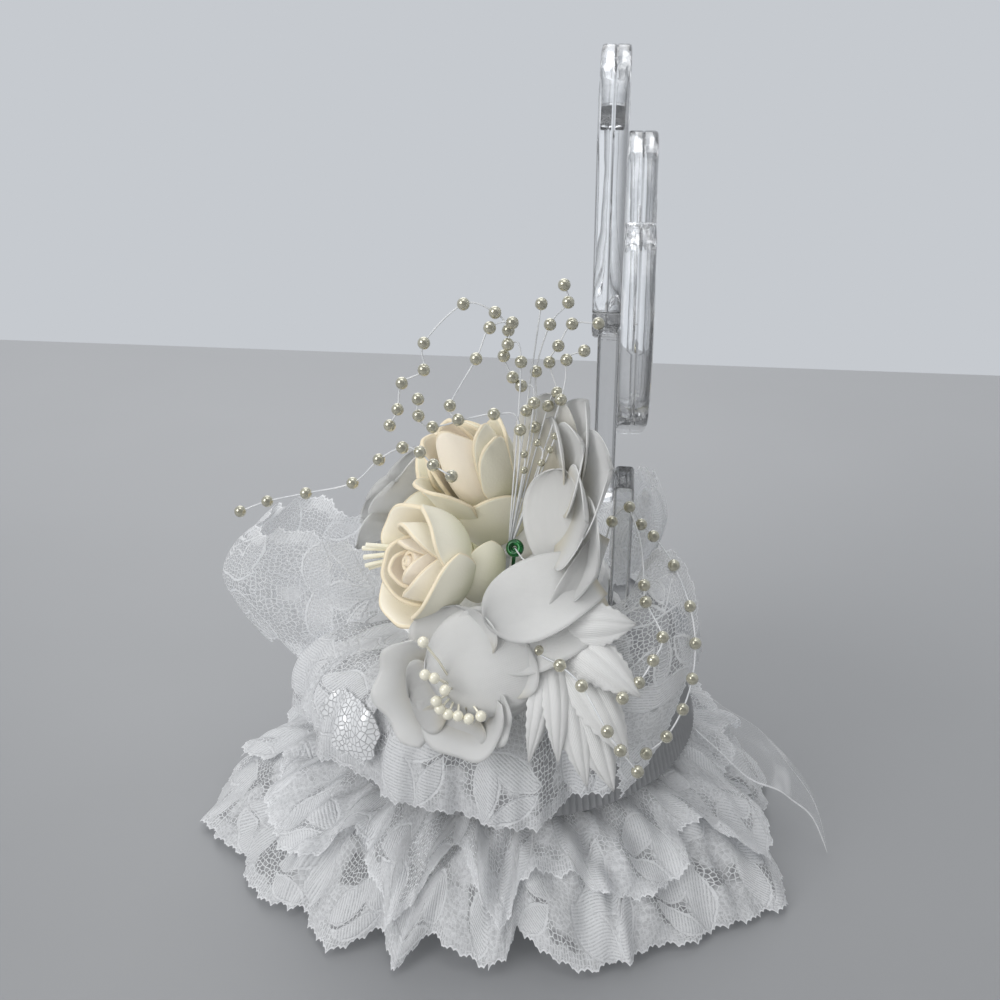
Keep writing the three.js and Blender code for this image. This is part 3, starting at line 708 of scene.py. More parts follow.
def turn_from_z(faces):
    """The shortest turn that carries +Z to a direction.

    It is the unit matrix, the cross matrix and the square of that over one and the cosine, added up.
    """
    to = unit(faces)
    x, y, z = np.cross([0, 0, 1], to)
    cross = np.array([[0, -z, y], [z, 0, -x], [-y, x, 0]])
    return np.eye(3) + cross + cross @ cross / (1 + to[2])


def ring(centre, faces, ring_radius, radius):
    """A bead with a hole: a circle carried round a ring that faces a direction."""
    around = down_rows(0, FULL_TURN, 33)
    across = over_columns(0, FULL_TURN, 17)
    out = ring_radius + radius * np.cos(across)
    points = round_axis(out, around, radius * np.sin(across))
    return patch(points @ turn_from_z(faces).T + np.asarray(centre, float))


class Place:
    """A place on the bunch: a point, the way that it faces and, if it matters, the way that +X runs there."""

    def __init__(self, base, faces, along=None):
        self.base = np.array(base, float)
        self.turn = turn_from_z(faces)
        if along is not None:
            out = unit(faces)
            run = unit(np.array(along, float) - out * (out @ np.array(along, float)))
            self.turn = np.stack([run, np.cross(out, run), out], axis=1)

    def put(self, points):
        return points @ self.turn.T + self.base


UPPER_ROSE = Place(base=(8, -3.5, 95), faces=(0.28, -0.42, 0.87))
LOWER_ROSE = Place(base=(34, -8.5, 90), faces=(0.55, -0.78, 0.3))
UPPER_BLOSSOM = Place(base=(28, 17.5, 102), faces=(0.3, -0.92, 0.25))
LOWER_BLOSSOM = Place(base=(54.5, -4, 70), faces=(0.9, -0.42, 0.12))
FRONT_BLOSSOM = Place(base=(-6, -25, 87), faces=(-0.35, -0.8, 0.5))


def petal(length, half_width, climb, roll=0.25, waist=0.35):
    """A petal along +X: its middle line climbs at angles that are spread evenly along it.

    Its half width grows from the waist as a quarter sine and closes at the tip as a quarter ellipse. Each
    cross-section lifts by roll times the square of the share of the half width, and its edge ripples.
    """
    v = np.sin(down_rows(0, math.pi / 2, 26))
    s = over_columns(-1, 1, 19)
    angle = np.interp(v, np.linspace(0, 1, len(climb)), climb)
    middle = (angle[1:] + angle[:-1]) / 2
    step = np.diff(v, axis=0) * length
    run = np.concatenate([[[0.0]], np.cumsum(np.cos(middle) * step, axis=0)])
    rise = np.concatenate([[[0.0]], np.cumsum(np.sin(middle) * step, axis=0)])
    swell = 0.55
    ripple = 0.6
    width = half_width * (waist + (1 - waist) * np.sin(math.pi / 2 * np.minimum(v / swell, 1)))
    closing = np.clip((v - swell) / (1 - swell), 0, 1)
    width = width * np.sqrt(np.maximum(1 - closing**2.3, 0.0002))
    lift = roll * width * s**2 + ripple * v**2 * np.abs(s) * np.sin(5 * s + 2 * v + length)
    points = [run - lift * np.sin(angle), s * width, rise + lift * np.cos(angle)]
    return np.stack([part + 0 * s + 0 * v for part in points], axis=-1)


def round_flower(points, degrees, base_radius, base_height):
    """A petal moved out from the flower's axis and turned round it."""
    angle = math.radians(degrees)
    turn = np.array(
        [[math.cos(angle), -math.sin(angle), 0], [math.sin(angle), math.cos(angle), 0], [0, 0, 1]]
    )
    return (points + [base_radius, 0, base_height]) @ turn.T


def rose_petal(turn, half_angle, base, belly, lip, height, start, lean, fall, crinkle=0.02):
    """A petal of a cup: a bent profile from the base through the belly to the lip, swept round the axis.

    The sweep narrows to the base, the top edge falls away to both sides with a power of the share of the
    half angle, and the radius grows by lean from one side to the other, so neighbours overlap.
    """
    s = over_columns(-1, 1, 31)
    t = down_rows(0, 1, 20) * (1 - fall * np.abs(s) ** 2.4)
    profile = bend(
        (base, 0, start), (1.3 * belly, 0, start + 0.12 * height), (belly, 0, start + 0.8 * height),
        (lip, 0, start + height),
    )(t)
    spread = half_angle * (0.6 + 0.4 * np.sin(math.pi / 2 * np.minimum(t / 0.6, 1)))
    angle = turn + spread * s
    ripple = crinkle * belly * np.sin(9 * s + 3 * turn) * t**3
    radius = profile[..., 0] + lean * s + ripple
    return round_axis(radius, angle, profile[..., 2] + ripple)


def rose_heart(radius, height):
    """The rolled heart: a wall on a spiral whose radius grows with the turn, drawn in at its top."""
    turns = 1.6
    innermost = 0.18
    s = over_columns(0, 1, 60)
    t = down_rows(0, 1, 14)
    spiral = innermost + 0.82 * s
    swell = 0.75 + 0.5 * np.sin(math.pi * (0.15 + 0.7 * t)) - 0.35 * t**2
    rise = height * t * (1 - 0.12 * s)
    return round_axis(radius * spiral * swell, FULL_TURN * turns * s, rise)


def area_of(points):
    """The area of a grid's quads, each taken as half the cross product of its diagonals."""
    first = points[1:, 1:] - points[:-1, :-1]
    second = points[1:, :-1] - points[:-1, 1:]
    return float(np.linalg.norm(np.cross(first, second), axis=-1).sum() / 2)


def run_lengths(points, axis):
    """Distances along the grid lines, added up from the start."""
    steps = np.linalg.norm(np.diff(points, axis=axis), axis=-1)
    zero = np.zeros_like(np.take(steps, [0], axis=axis))
    return np.concatenate([zero, np.cumsum(steps, axis=axis)], axis=axis)


def cloth_patch(points, both_edges=False, opening=0.0):
    """A sheet whose last row is its finished edge, or whose first and last rows both are.

    Its flat coordinates are the run along the longest row and the distance from the finished edge. The
    opening is the share by which its net opens and by which painted shade darkens its threads.
    """
    across = run_lengths(points, 1)
    longest = across[np.argmax(across[:, -1])]
    along = run_lengths(points, 0)
    from_edge = along[-1:] - along
    if both_edges:
        from_edge = np.minimum(from_edge, along)
    flat = np.stack([np.broadcast_to(longest, from_edge.shape), from_edge], axis=-1)
    return patch(points, flat, whorl=opening)


def declare_sheet(points):
    """Works out a sheet's own area and keeps nothing of it."""
    area_of(points) * MM**2


# Hearts and drum

HEART_SPREAD = 0.72
HEART_DROP = 2.55
HEART_BAR = 4.0
HEART_THICKNESS = 6.9
HEART_TILT = math.pi / 6
HEART_EDGE = 0.8
TIP_ROUND = 1.5
BAR_EDGE = 1.1
# Share of painted shade on the faces of the stem and post
FACE_PAINTED_SHADE = 0.16


def heart_outline(lobe, grow):
    """A heart about the middle of its lobes: a rounded tip, straight flanks and two arcs to the cleft."""
    radius = lobe + grow
    spread = lobe * HEART_SPREAD
    drop = lobe * HEART_DROP
    flank = math.atan2(spread, drop) + math.asin(lobe / math.hypot(spread, drop))
    rounding = TIP_ROUND + max(grow, 0.0)
    centre = -drop - grow / math.sin(flank) + rounding / math.sin(flank)
    cleft = math.pi - math.atan2(math.sqrt(radius**2 - spread**2), spread)
    tip_angle = np.linspace(-math.pi / 2, -flank, 7)
    tip = np.stack([rounding * np.cos(tip_angle), centre + rounding * np.sin(tip_angle)], axis=1)
    lobe_angle = np.linspace(-flank, cleft, 60)
    arc = np.stack([spread + radius * np.cos(lobe_angle), radius * np.sin(lobe_angle)], axis=1)
    flank_share = np.linspace(0, 1, 12)[1:-1, None]
    straight = tip[-1] + (arc[0] - tip[-1]) * flank_share
    right = np.vstack([tip, straight, arc])
    return np.vstack([right, right[::-1] * [-1, 1]])


def heart_band(lobe, centre, tilt, back):
    """An open heart: a section of two rounded layers carried round the outline, turned and moved."""
    inner = heart_outline(lobe, -HEART_BAR)
    outer = heart_outline(lobe, 0.0)
    half = HEART_THICKNESS / 2
    edge = HEART_EDGE
    share = edge / HEART_BAR
    groove = 0.35 * share
    chamfer = 0.3
    layer = [
        (1 - share, 0), (1 - chamfer * share, chamfer * edge), (1, edge), (1, half - 0.5 * edge),
        (1 - groove, half),
    ]
    wall = layer + [(t, HEART_THICKNESS - y) for t, y in layer[-2::-1]]
    section = np.array(wall + [(1 - t, y) for t, y in wall[::-1]] + wall[:1])
    t = section[None, :, 0, None]
    flat = inner[:, None] + (outer - inner)[:, None] * t
    x = flat[..., 0] * math.cos(tilt) - flat[..., 1] * math.sin(tilt) + centre[0]
    z = flat[..., 0] * math.sin(tilt) + flat[..., 1] * math.cos(tilt) + centre[1]
    y = np.broadcast_to(back + section[None, :, 1], x.shape)
    from_face = np.minimum(section[:, 1], HEART_THICKNESS - section[:, 1])
    # Painted shade: the rounded edges and the middle groove get a whorl of 1, which the acrylic paints dark
    dark = ((from_face > 0) & (from_face < edge)) | (from_face == half)
    return patch(np.stack([x, y, z], axis=-1), whorl=dark.astype(float)[None, :])


def rounded_bar(low, high):
    """An upright bar: a rectangle with round corners, drawn in on a quarter circle at both ends."""
    low, high = np.array(low, float), np.array(high, float)
    core = (high - low)[:2] / 2 - BAR_EDGE
    angle = over_columns(0, FULL_TURN, 49) + 0.03
    quarter = np.linspace(0, math.pi / 2, 6)
    corner = BAR_EDGE * np.sin(quarter)[:, None]
    rise = BAR_EDGE * (1 - np.cos(quarter))
    x = np.sign(np.cos(angle)) * core[0] + corner * np.cos(angle)
    y = np.sign(np.sin(angle)) * core[1] + corner * np.sin(angle)
    section = np.stack([x, y], axis=-1)
    gathered = np.zeros_like(section[:1])
    flat = np.concatenate([gathered, section, section[::-1], gathered]) + (low + high)[:2] / 2
    height = np.concatenate([[low[2]], low[2] + rise, high[2] - rise[::-1], [high[2]]])
    points = np.dstack([flat, np.broadcast_to(height[:, None], flat.shape[:2])])
    # Painted shade: the rounded corners get a whorl of 1 and the faces a faint painted shade
    at_corner = np.abs(np.sin(2 * angle)) > 0.5
    return patch(points, whorl=np.where(at_corner, 1.0, FACE_PAINTED_SHADE))


def fluted_wall(flutes):
    """An inverted cup: its outer radius falls by a raised cosine at each flute."""
    angle = over_columns(0, FULL_TURN, 8 * flutes + 1)
    depth = 0.7
    flute = depth * (0.5 - 0.5 * np.cos(flutes * angle))
    wall = 2.4
    lip = 0.6
    rows = [
        (0, DRUM_TOP - wall, 0), (DRUM_TOP_RADIUS - wall, DRUM_TOP - wall, 0),
        (DRUM_RIM_RADIUS - wall, DRUM_RIM, 0), (DRUM_RIM_RADIUS - lip, DRUM_RIM, 0),
        (DRUM_RIM_RADIUS, DRUM_RIM + lip, 1), (DRUM_TOP_RADIUS + lip, DRUM_TOP - 2 * lip, 1),
        (DRUM_TOP_RADIUS - 2 * lip, DRUM_TOP, 0), (0, DRUM_TOP, 0),
    ]
    radius, height, share = (np.array(column, float)[:, None] for column in zip(*rows))
    own = np.maximum(radius - share * flute, 0)
    return patch(round_axis(own, angle, height))


class TOPPER_OT_hearts(bpy.types.Operator):
    """Clear hearts on their stem and post"""

    bl_idname = "topper.hearts"
    bl_label = "Hearts"

    def execute(self, context):
        front = heart_band(lobe=18.5, centre=(-15, 180), tilt=HEART_TILT, back=JOINT_PLANE - HEART_THICKNESS)
        rear = heart_band(lobe=22.4, centre=(12, 156), tilt=-HEART_TILT, back=JOINT_PLANE)
        stem = rounded_bar((3, 21.9, 100.5), (17, JOINT_PLANE, 143))
        post = rounded_bar((2, JOINT_PLANE, DRUM_TOP), (18, 32.1, 105))
        shapes = (("heart_front", front), ("heart_rear", rear), ("heart_stem", stem), ("heart_post", post))
        for node, shape in shapes:
            add_piece(context, node + "_clear", [shape], "clear_acrylic", node, closed=True, sharp=0.6)
        return {"FINISHED"}


class TOPPER_OT_base(bpy.types.Operator):
    """Fluted drum, pedestal, foam and flower stems"""

    bl_idname = "topper.base"
    bl_label = "Drum and base"

    def execute(self, context):
        wall = fluted_wall(context.scene.topper_sizes.flutes)
        add_piece(context, "drum_wall", [wall], "grey_plastic", "fluted_drum", closed=True, sharp=0.7)
        coat_node(context, "white_plastic", "base_pedestal")
        coat_node(context, "white_foam", "foam_dome")
        for flower in ("rose_upper", "rose_lower", "blossom_upper", "blossom_lower", "blossom_front"):
            coat_node(context, "stem_green", flower + "_stem")
        return {"FINISHED"}


# Lace

SKIRT_NECK = 33.0
SKIRT_SHOULDER = 59.0
SKIRT_TOP = 27.0
MEAN_HEM = 77.0
HEM_EASE = 1.2
LOOP_COLUMNS = 121
FLOUNCE_COLUMNS = 90
FALL_ROWS = 30
FALL_COLUMNS = 121


HEM_TURNS = (
    -88, -74, -62, -48, -39, -28, -23, -14, -8.5, -1, 4, 9, 18, 33, 48, 61, 71, 80, 95, 108, 120, 133,
    146, 158, 170, 183, 196, 208, 220, 232, 244, 258,
)
HEM_RADII = (
    80, 87.5, 80, 79, 74, 77.5, 70, 77, 66.5, 73.5, 71.5, 64, 75, 74, 78, 86, 77, 69, 76, 70, 76, 70,
    80, 74, 85, 78, 87, 77, 78, 69, 75, 71,
)


def skirt_point(angle, v):
    """A point of the skirt: a quadratic curve from the neck over a shoulder to the hem at every angle.

    The hem's radius runs straight from fold to fold, so the folds are creased, and where it draws in the
    hem lifts off the table. Crumples of three crossed waves fill the middle of the cloth.
    """
    hem = HEM_EASE + np.interp(angle, np.radians(HEM_TURNS), HEM_RADII, period=FULL_TURN)
    drawn_in = np.maximum(MEAN_HEM - hem, 0)
    hem_height = 1.4 + 0.55 * drawn_in
    shoulder = SKIRT_SHOULDER + 0.35 * (hem - MEAN_HEM)
    first, second, third = (1 - v) ** 2, 2 * v * (1 - v), v**2
    crumple = np.sin(19 * angle + 5 * v) + np.sin(31 * angle - 9 * v + 1) + 0.7 * np.sin(53 * angle + 14 * v)
    radius = SKIRT_NECK * first + shoulder * second + hem * third + 0.7 * v * crumple
    height = SKIRT_TOP * (first + second) + hem_height * third + 0.9 * np.sin(math.pi * v) * crumple
    lean = 2.4 * np.cos(15 * angle + 0.6 * np.sin(3 * angle)) * third / radius
    least_height = 0.7
    return round_axis(radius, angle + lean, np.maximum(height, least_height))


def skirt_sheet():
    """The full skirt, from the neck to the table."""
    angle = over_columns(0, FULL_TURN, 901)
    v = down_rows(0, 1, 44)
    return skirt_point(angle + 0 * v, v + 0 * angle)


def tier_sheet():
    """The short tier on the skirt: it follows the skirt to a zigzag edge and stands further off it there."""
    angle = over_columns(0, FULL_TURN, 801)
    t = down_rows(0, 1, 26)
    zigzag = np.arcsin(np.sin(11 * angle + 1.4 * np.sin(2 * angle))) + 0.5 * np.arcsin(np.sin(17 * angle + 1))
    start = 0.2
    end = 0.72 + 0.1 * zigzag
    on_skirt = skirt_point(angle + 0 * t, start + (end - start) * t)
    off = 0.9 + 2.4 * t**2 + t * np.sin(23 * angle + 4 * t) + 0.6 * t * np.sin(41 * angle - 5 * t)
    outward = round_axis(0.55, angle, 0.83)
    return on_skirt + off[..., None] * outward


def collar_sheet():
    """The short ruffle: its radius grows as a quarter sine and its height falls as a square to the hem.

    Its last part is cut shorter, so the drum's flutes show below it.
    """
    angle = over_columns(1.85, 6.8, 501)
    v = down_rows(0, 1, 20)
    head_radius = 41.0
    head_height = 59.2
    least_drop = 5.7
    fold = v * (2.2 * np.sin(13 * angle) + 0.9 * np.sin(29 * angle + 1) + 0.5 * v**2 * np.sin(67 * angle))
    hem = 59 + 1.5 * np.sin(2 * angle + 0.4)
    radius = head_radius + (hem - head_radius) * np.sin(math.pi / 2 * v) + fold
    cut = np.interp(angle, [6.48, 6.66], [1.0, 0.62])
    drop = (19.5 + 1.5 * np.sin(3 * angle)) * cut
    height = head_height - (drop + least_drop) * v**2 + 0.3 * fold
    return round_axis(radius, angle, height)


def loop_sheet(root, half_gap, half_height, reach, half_width, rise):
    """A loop of wide ribbon: out along Y as a raised cosine and apart along X as a sine.

    It is widest before its turn, and its edges ruffle and its face crumples in crossed waves.
    """
    x, y, z = root
    turn = over_columns(-0.8 * math.pi, 0.8 * math.pi, LOOP_COLUMNS)
    side = down_rows(-1, 1, 41)
    out = (1 + np.cos(turn)) / 2
    gap = half_gap * np.sin(turn) * (1 + 0.6 * out)
    spread = half_height + (half_width - half_height) * np.sin(0.74 * math.pi * out)
    ruffle = side * 1.5 * np.sin(2 * turn) + np.abs(side) ** 3 * 1.6 * np.sin(8 * turn + 2 * side)
    crumple = 0.06 * half_width * np.sin(5 * turn + 4 * side) * np.cos(3 * side - 2 * turn)
    bow = 0.24 * reach * side**2 * out
    wave = 0.04 * half_width * np.cos(13 * turn) * side
    points = [x + gap + ruffle + crumple, y + reach * out - bow, z + rise * out + spread * side + wave]
    return np.stack([part + 0 * side + 0 * turn for part in points], axis=-1)


def fall_sheet(first_turn, last_turn, start, off):
    """A fall of cloth at the front, from the bunch over the drum's edge: a bent strip with ripples."""
    angle = over_columns(first_turn, last_turn, FALL_COLUMNS)
    v = down_rows(start, 1, FALL_ROWS)
    head_radius, reach = 30, 29
    head_height, drop = 62, 20
    ripple = 1.2 * np.sin(21 * angle + 3 * v) + 0.8 * np.sin(37 * angle - 4 * v)
    radius = head_radius + reach * np.sin(math.pi / 2 * v) + v * ripple + off
    height = head_height - drop * v**2.2 + 1.5 * np.sin(5 * angle) * v + 0.4 * ripple + off
    return round_axis(radius, angle, height)


def ruff_sheet():
    """The standing ruff on the far side: a cone that opens upwards, folded along its edge."""
    angle = over_columns(2.3, 3.9, 241)
    v = down_rows(0, 1, 20)
    fold = v * (2.5 * np.sin(14 * angle) + 0.7 * np.sin(31 * angle))
    foot_radius, flare = 34, 20
    foot_height, rise = 59, 21
    return round_axis(foot_radius + flare * v - fold, angle, foot_height + rise * v * (2 - v) + fold)


def sail_sheet(left, right, belly, rows, columns, crimp):
    """A sheet between two bent edges.

    It bellies out by the product of two half sines, and its edges are crimped by a sine along them.
    """
    u = over_columns(0, 1, columns)
    v = down_rows(0, 1, rows)
    first, second = left(v), right(v)
    bulge = np.sin(math.pi * u) * np.sin(math.pi * v)
    wave = crimp * np.sin(17 * v) * (2 * u - 1) ** 2 * np.sin(math.pi * np.sqrt(v))
    normal = unit(np.cross(second - first + 1e-6, np.gradient(first, axis=0)))
    straight = first + (second - first) * u[..., None]
    return straight + bulge[..., None] * np.array(belly) + wave[..., None] * normal


def flounce_sheet():
    """The side flounce: a sail that stands up beside the bunch and falls to the collar."""
    left = bend((34, 20, 59.2), (34, 31, 103), (62, 24, 80), (57.5, 31, 43))
    right = bend((27, 27, 59.2), (10, 38, 125), (36, 66, 78), (56, 32.5, 43))
    return sail_sheet(left, right, (3, 3, 1), FLOUNCE_COLUMNS, 31, crimp=1.2).transpose(1, 0, 2)


def tail_sheet():
    """The sheer tail: a sail from the drum's wall down to the table."""
    upper = bend((-2, 50, 36), (-2, 62, 35), (12, 84, 24), (17, 89, 1.6))
    lower = bend((12, 51.6, 33), (24, 74, 14), (12, 80, 22), (20, 89, 1))
    return sail_sheet(upper, lower, (0, 2, 3), 60, 25, crimp=1.0).transpose(1, 0, 2)


def add_sheet(
    context, name, points, held, rests_on="fluted_drum", node=None, material="white_lace", slot=None,
    both_edges=False, opening=0.0,
):
    cloth = cloth_patch(points, both_edges, opening)
    piece = add_piece(context, name + "_cloth", [cloth], material, node or name)
    declare_sheet(points)


class TOPPER_OT_lace(bpy.types.Operator):
    """Skirt, collar, ruff, loops, flounce and falls of lace, and the sheer tail"""

    bl_idname = "topper.lace"
    bl_label = "Lace"

    def execute(self, context):
        add_sheet(context, "lace_skirt", skirt_sheet(), "gathered", "base_pedestal")
        add_sheet(context, "lace_tier", tier_sheet(), "gathered", node="lace_skirt")
        add_sheet(context, "lace_collar", collar_sheet(), "gathered")
        add_sheet(context, "lace_ruff_far", ruff_sheet(), "gathered")
        self.loops(context)
        self.falls(context)
        add_sheet(context, "organza_tail", tail_sheet(), "hung", material="organza", both_edges=True)
        return {"FINISHED"}

    def loops(self, context):
        """The two loops and the side flounce; the net of the front loop and the flounce opens out."""
        front = loop_sheet((2, -29, 67.5), half_gap=8, half_height=5, reach=-50, half_width=20, rise=1)
        rear = loop_sheet((-14, 25, 77.5), half_gap=6, half_height=5, reach=17, half_width=13, rise=7)
        front_net = np.sqrt(np.hanning(LOOP_COLUMNS))[None, :]
        flounce_net = np.clip(1.6 * np.sin(math.pi * over_columns(0.1, 1.3, FLOUNCE_COLUMNS)), 0, 1)
        on_foam = {"held": "folded", "rests_on": "foam_dome", "both_edges": True}
        add_sheet(context, "lace_loop_front", front, opening=front_net, **on_foam)
        add_sheet(context, "lace_loop_rear", rear, **on_foam)
        add_sheet(context, "lace_flounce_side", flounce_sheet(), "hung", both_edges=True, opening=flounce_net)

    def falls(self, context):
        """The fall of lace at the front and the patch of foil on it, which fades out towards its edges."""
        fall = fall_sheet(first_turn=-1.8, last_turn=-0.55, start=0.0, off=0.0)
        foil = fall_sheet(first_turn=-0.88, last_turn=-0.46, start=0.56, off=0.6)
        down = np.sin(down_rows(0, math.pi, FALL_ROWS))
        across = np.sin(over_columns(0, math.pi, FALL_COLUMNS))
        on_collar = {"held": "laid", "node": "lace_collar"}
        add_sheet(context, "lace_fall", fall, **on_collar)
        foil_look = {"material": "foil_lace", "slot": "white_lace", "opening": down * across}
        add_sheet(context, "lace_foil", foil, **on_collar, **foil_look)


# Flowers

def cup_petal(turn, half_angle, belly, lip, height, whorl, start=0.0, fall=0.42):
    """A petal of a rose whose radius is 1, with the whorl that its colour goes by."""
    points = rose_petal(
        math.radians(turn), half_angle, base=0.2, belly=belly, lip=lip, height=height, start=start, lean=0.05,
        fall=fall,
    )
    return points, whorl


UPPER_ROSE_PETALS = (
    cup_petal(175, 1.5, 0.36, 0.2, 1.66, 0.1),
    cup_petal(0, 1.5, 0.44, 0.14, 1.72, 0.15),
    cup_petal(-105, 0.9, 0.46, 0.46, 1.55, 0.4),
    cup_petal(75, 0.9, 0.56, 0.52, 1.5, 0.6),
    cup_petal(205, 1.2, 0.6, 0.6, 1.35, 0.5),
    cup_petal(-50, 0.9, 0.7, 0.88, 1.18, 0.9),
    cup_petal(62, 0.75, 0.66, 0.66, 1.42, 0.95, start=-0.1),
    cup_petal(10, 0.95, 0.76, 0.74, 1.25, 1.0, start=-0.62, fall=0.5),
    cup_petal(120, 0.9, 0.7, 0.8, 1.4, 1.0, start=-0.2),
    cup_petal(-72, 0.8, 0.84, 1.4, 0.78, 0.9, start=-0.12),
    cup_petal(-150, 1.0, 0.8, 1.1, 1.1, 1.0),
)
LOWER_ROSE_PETALS = tuple(cup_petal(20 + 120 * index, 1.25, 0.4, 0.3, 1.22, 0.1) for index in range(3)) + (
    cup_petal(5, 1.2, 0.62, 0.52, 1.16, 0.3),
    cup_petal(130, 1.2, 0.62, 0.6, 1.24, 0.45),
    cup_petal(-110, 1.2, 0.64, 0.62, 1.18, 0.45),
    cup_petal(12, 1.0, 0.86, 0.98, 1.08, 1.0),
    cup_petal(100, 1.0, 0.84, 0.96, 1.08, 1.0),
    cup_petal(190, 1.0, 0.82, 1.1, 1.06, 0.4),
    cup_petal(-75, 1.0, 0.86, 1.12, 1.04, 0.4),
    cup_petal(45, 0.85, 0.7, 0.64, 1.0, 1.4, start=-0.65, fall=0.5),
)


def rose(radius, place, cup):
    """A foam rose: a rolled heart and cup petals that are made for a radius of 1, scaled and put in place."""
    heart = (rose_heart(0.3, 1.12), 0.0)
    return [patch(place.put(radius * points), whorl=whorl) for points, whorl in (heart, *cup)]


TUFT_ROOT = (28, -17, 91)
TUFT_TIPS = (
    (34, -31, 94.5), (33, -32.2, 93.1), (35, -31.4, 91.8), (33, -32, 90.6), (35, -31.2, 89.5),
    (34, -30.6, 88.4),
)


class TOPPER_OT_roses(bpy.types.Operator):
    """Two craft-foam roses"""

    bl_idname = "topper.roses"
    bl_label = "Roses"

    def execute(self, context):
        foam = context.scene.topper_sizes.rose_foam
        tuft = [tube([TUFT_ROOT, tip], radius=0.24, sides=8) for tip in TUFT_TIPS]
        blooms = (
            ("rose_upper_bloom", rose(16.0, UPPER_ROSE, UPPER_ROSE_PETALS)),
            ("rose_lower_bloom", rose(14.0, LOWER_ROSE, LOWER_ROSE_PETALS) + tuft),
        )
        for node, made in blooms:
            add_piece(context, node + "_petals", made, "cream_foam", node, thickness=foam)
        return {"FINISHED"}


def silk_petal(turn, length, half_width, climb):
    """A petal of a silk layer, with its turn round the flower in degrees."""
    return turn, petal(length, half_width, climb)


def loose_petal(root, tip, faces, half_width, climb, roll=0.25, warm=0.15):
    """A petal laid from a root to a tip, with its face turned a given way and warm in tone near its root."""
    along = np.subtract(tip, root)
    points = petal(1.04 * np.linalg.norm(along), half_width, climb, roll, waist=0.6)
    return patch(Place(root, faces, along).put(points), whorl=warm)


def bowl_petal(turn, half_angle, belly, lip, height):
    """A wide petal of the lower blossom's bowl."""
    points = rose_petal(
        math.radians(turn), half_angle, base=3.0, belly=belly, lip=lip, height=height, start=1.0, lean=0.5,
        fall=0.22, crinkle=0.06,
    )
    return patch(LOWER_BLOSSOM.put(points), whorl=1.9)


def even_layer(count, turn, length, half_width, climb):
    """Like petals spread evenly round a flower."""
    return [silk_petal(turn + 360 * index / count, length, half_width, climb) for index in range(count)]


OUTER_HEIGHT = 0.8
INNER_HEIGHT = 3.2
STAMEN_DEPTH = 66.0
STAMEN_TIPS = (
    (-12.2, 87.6), (-12, 79.4), (-10, 78.7), (-7.7, 75.8), (-9.7, 72.8), (-8.9, 70.8), (-7.1, 69.6),
    (-4.9, 69.3), (-2.5, 68.7), (0.2, 69.6),
)


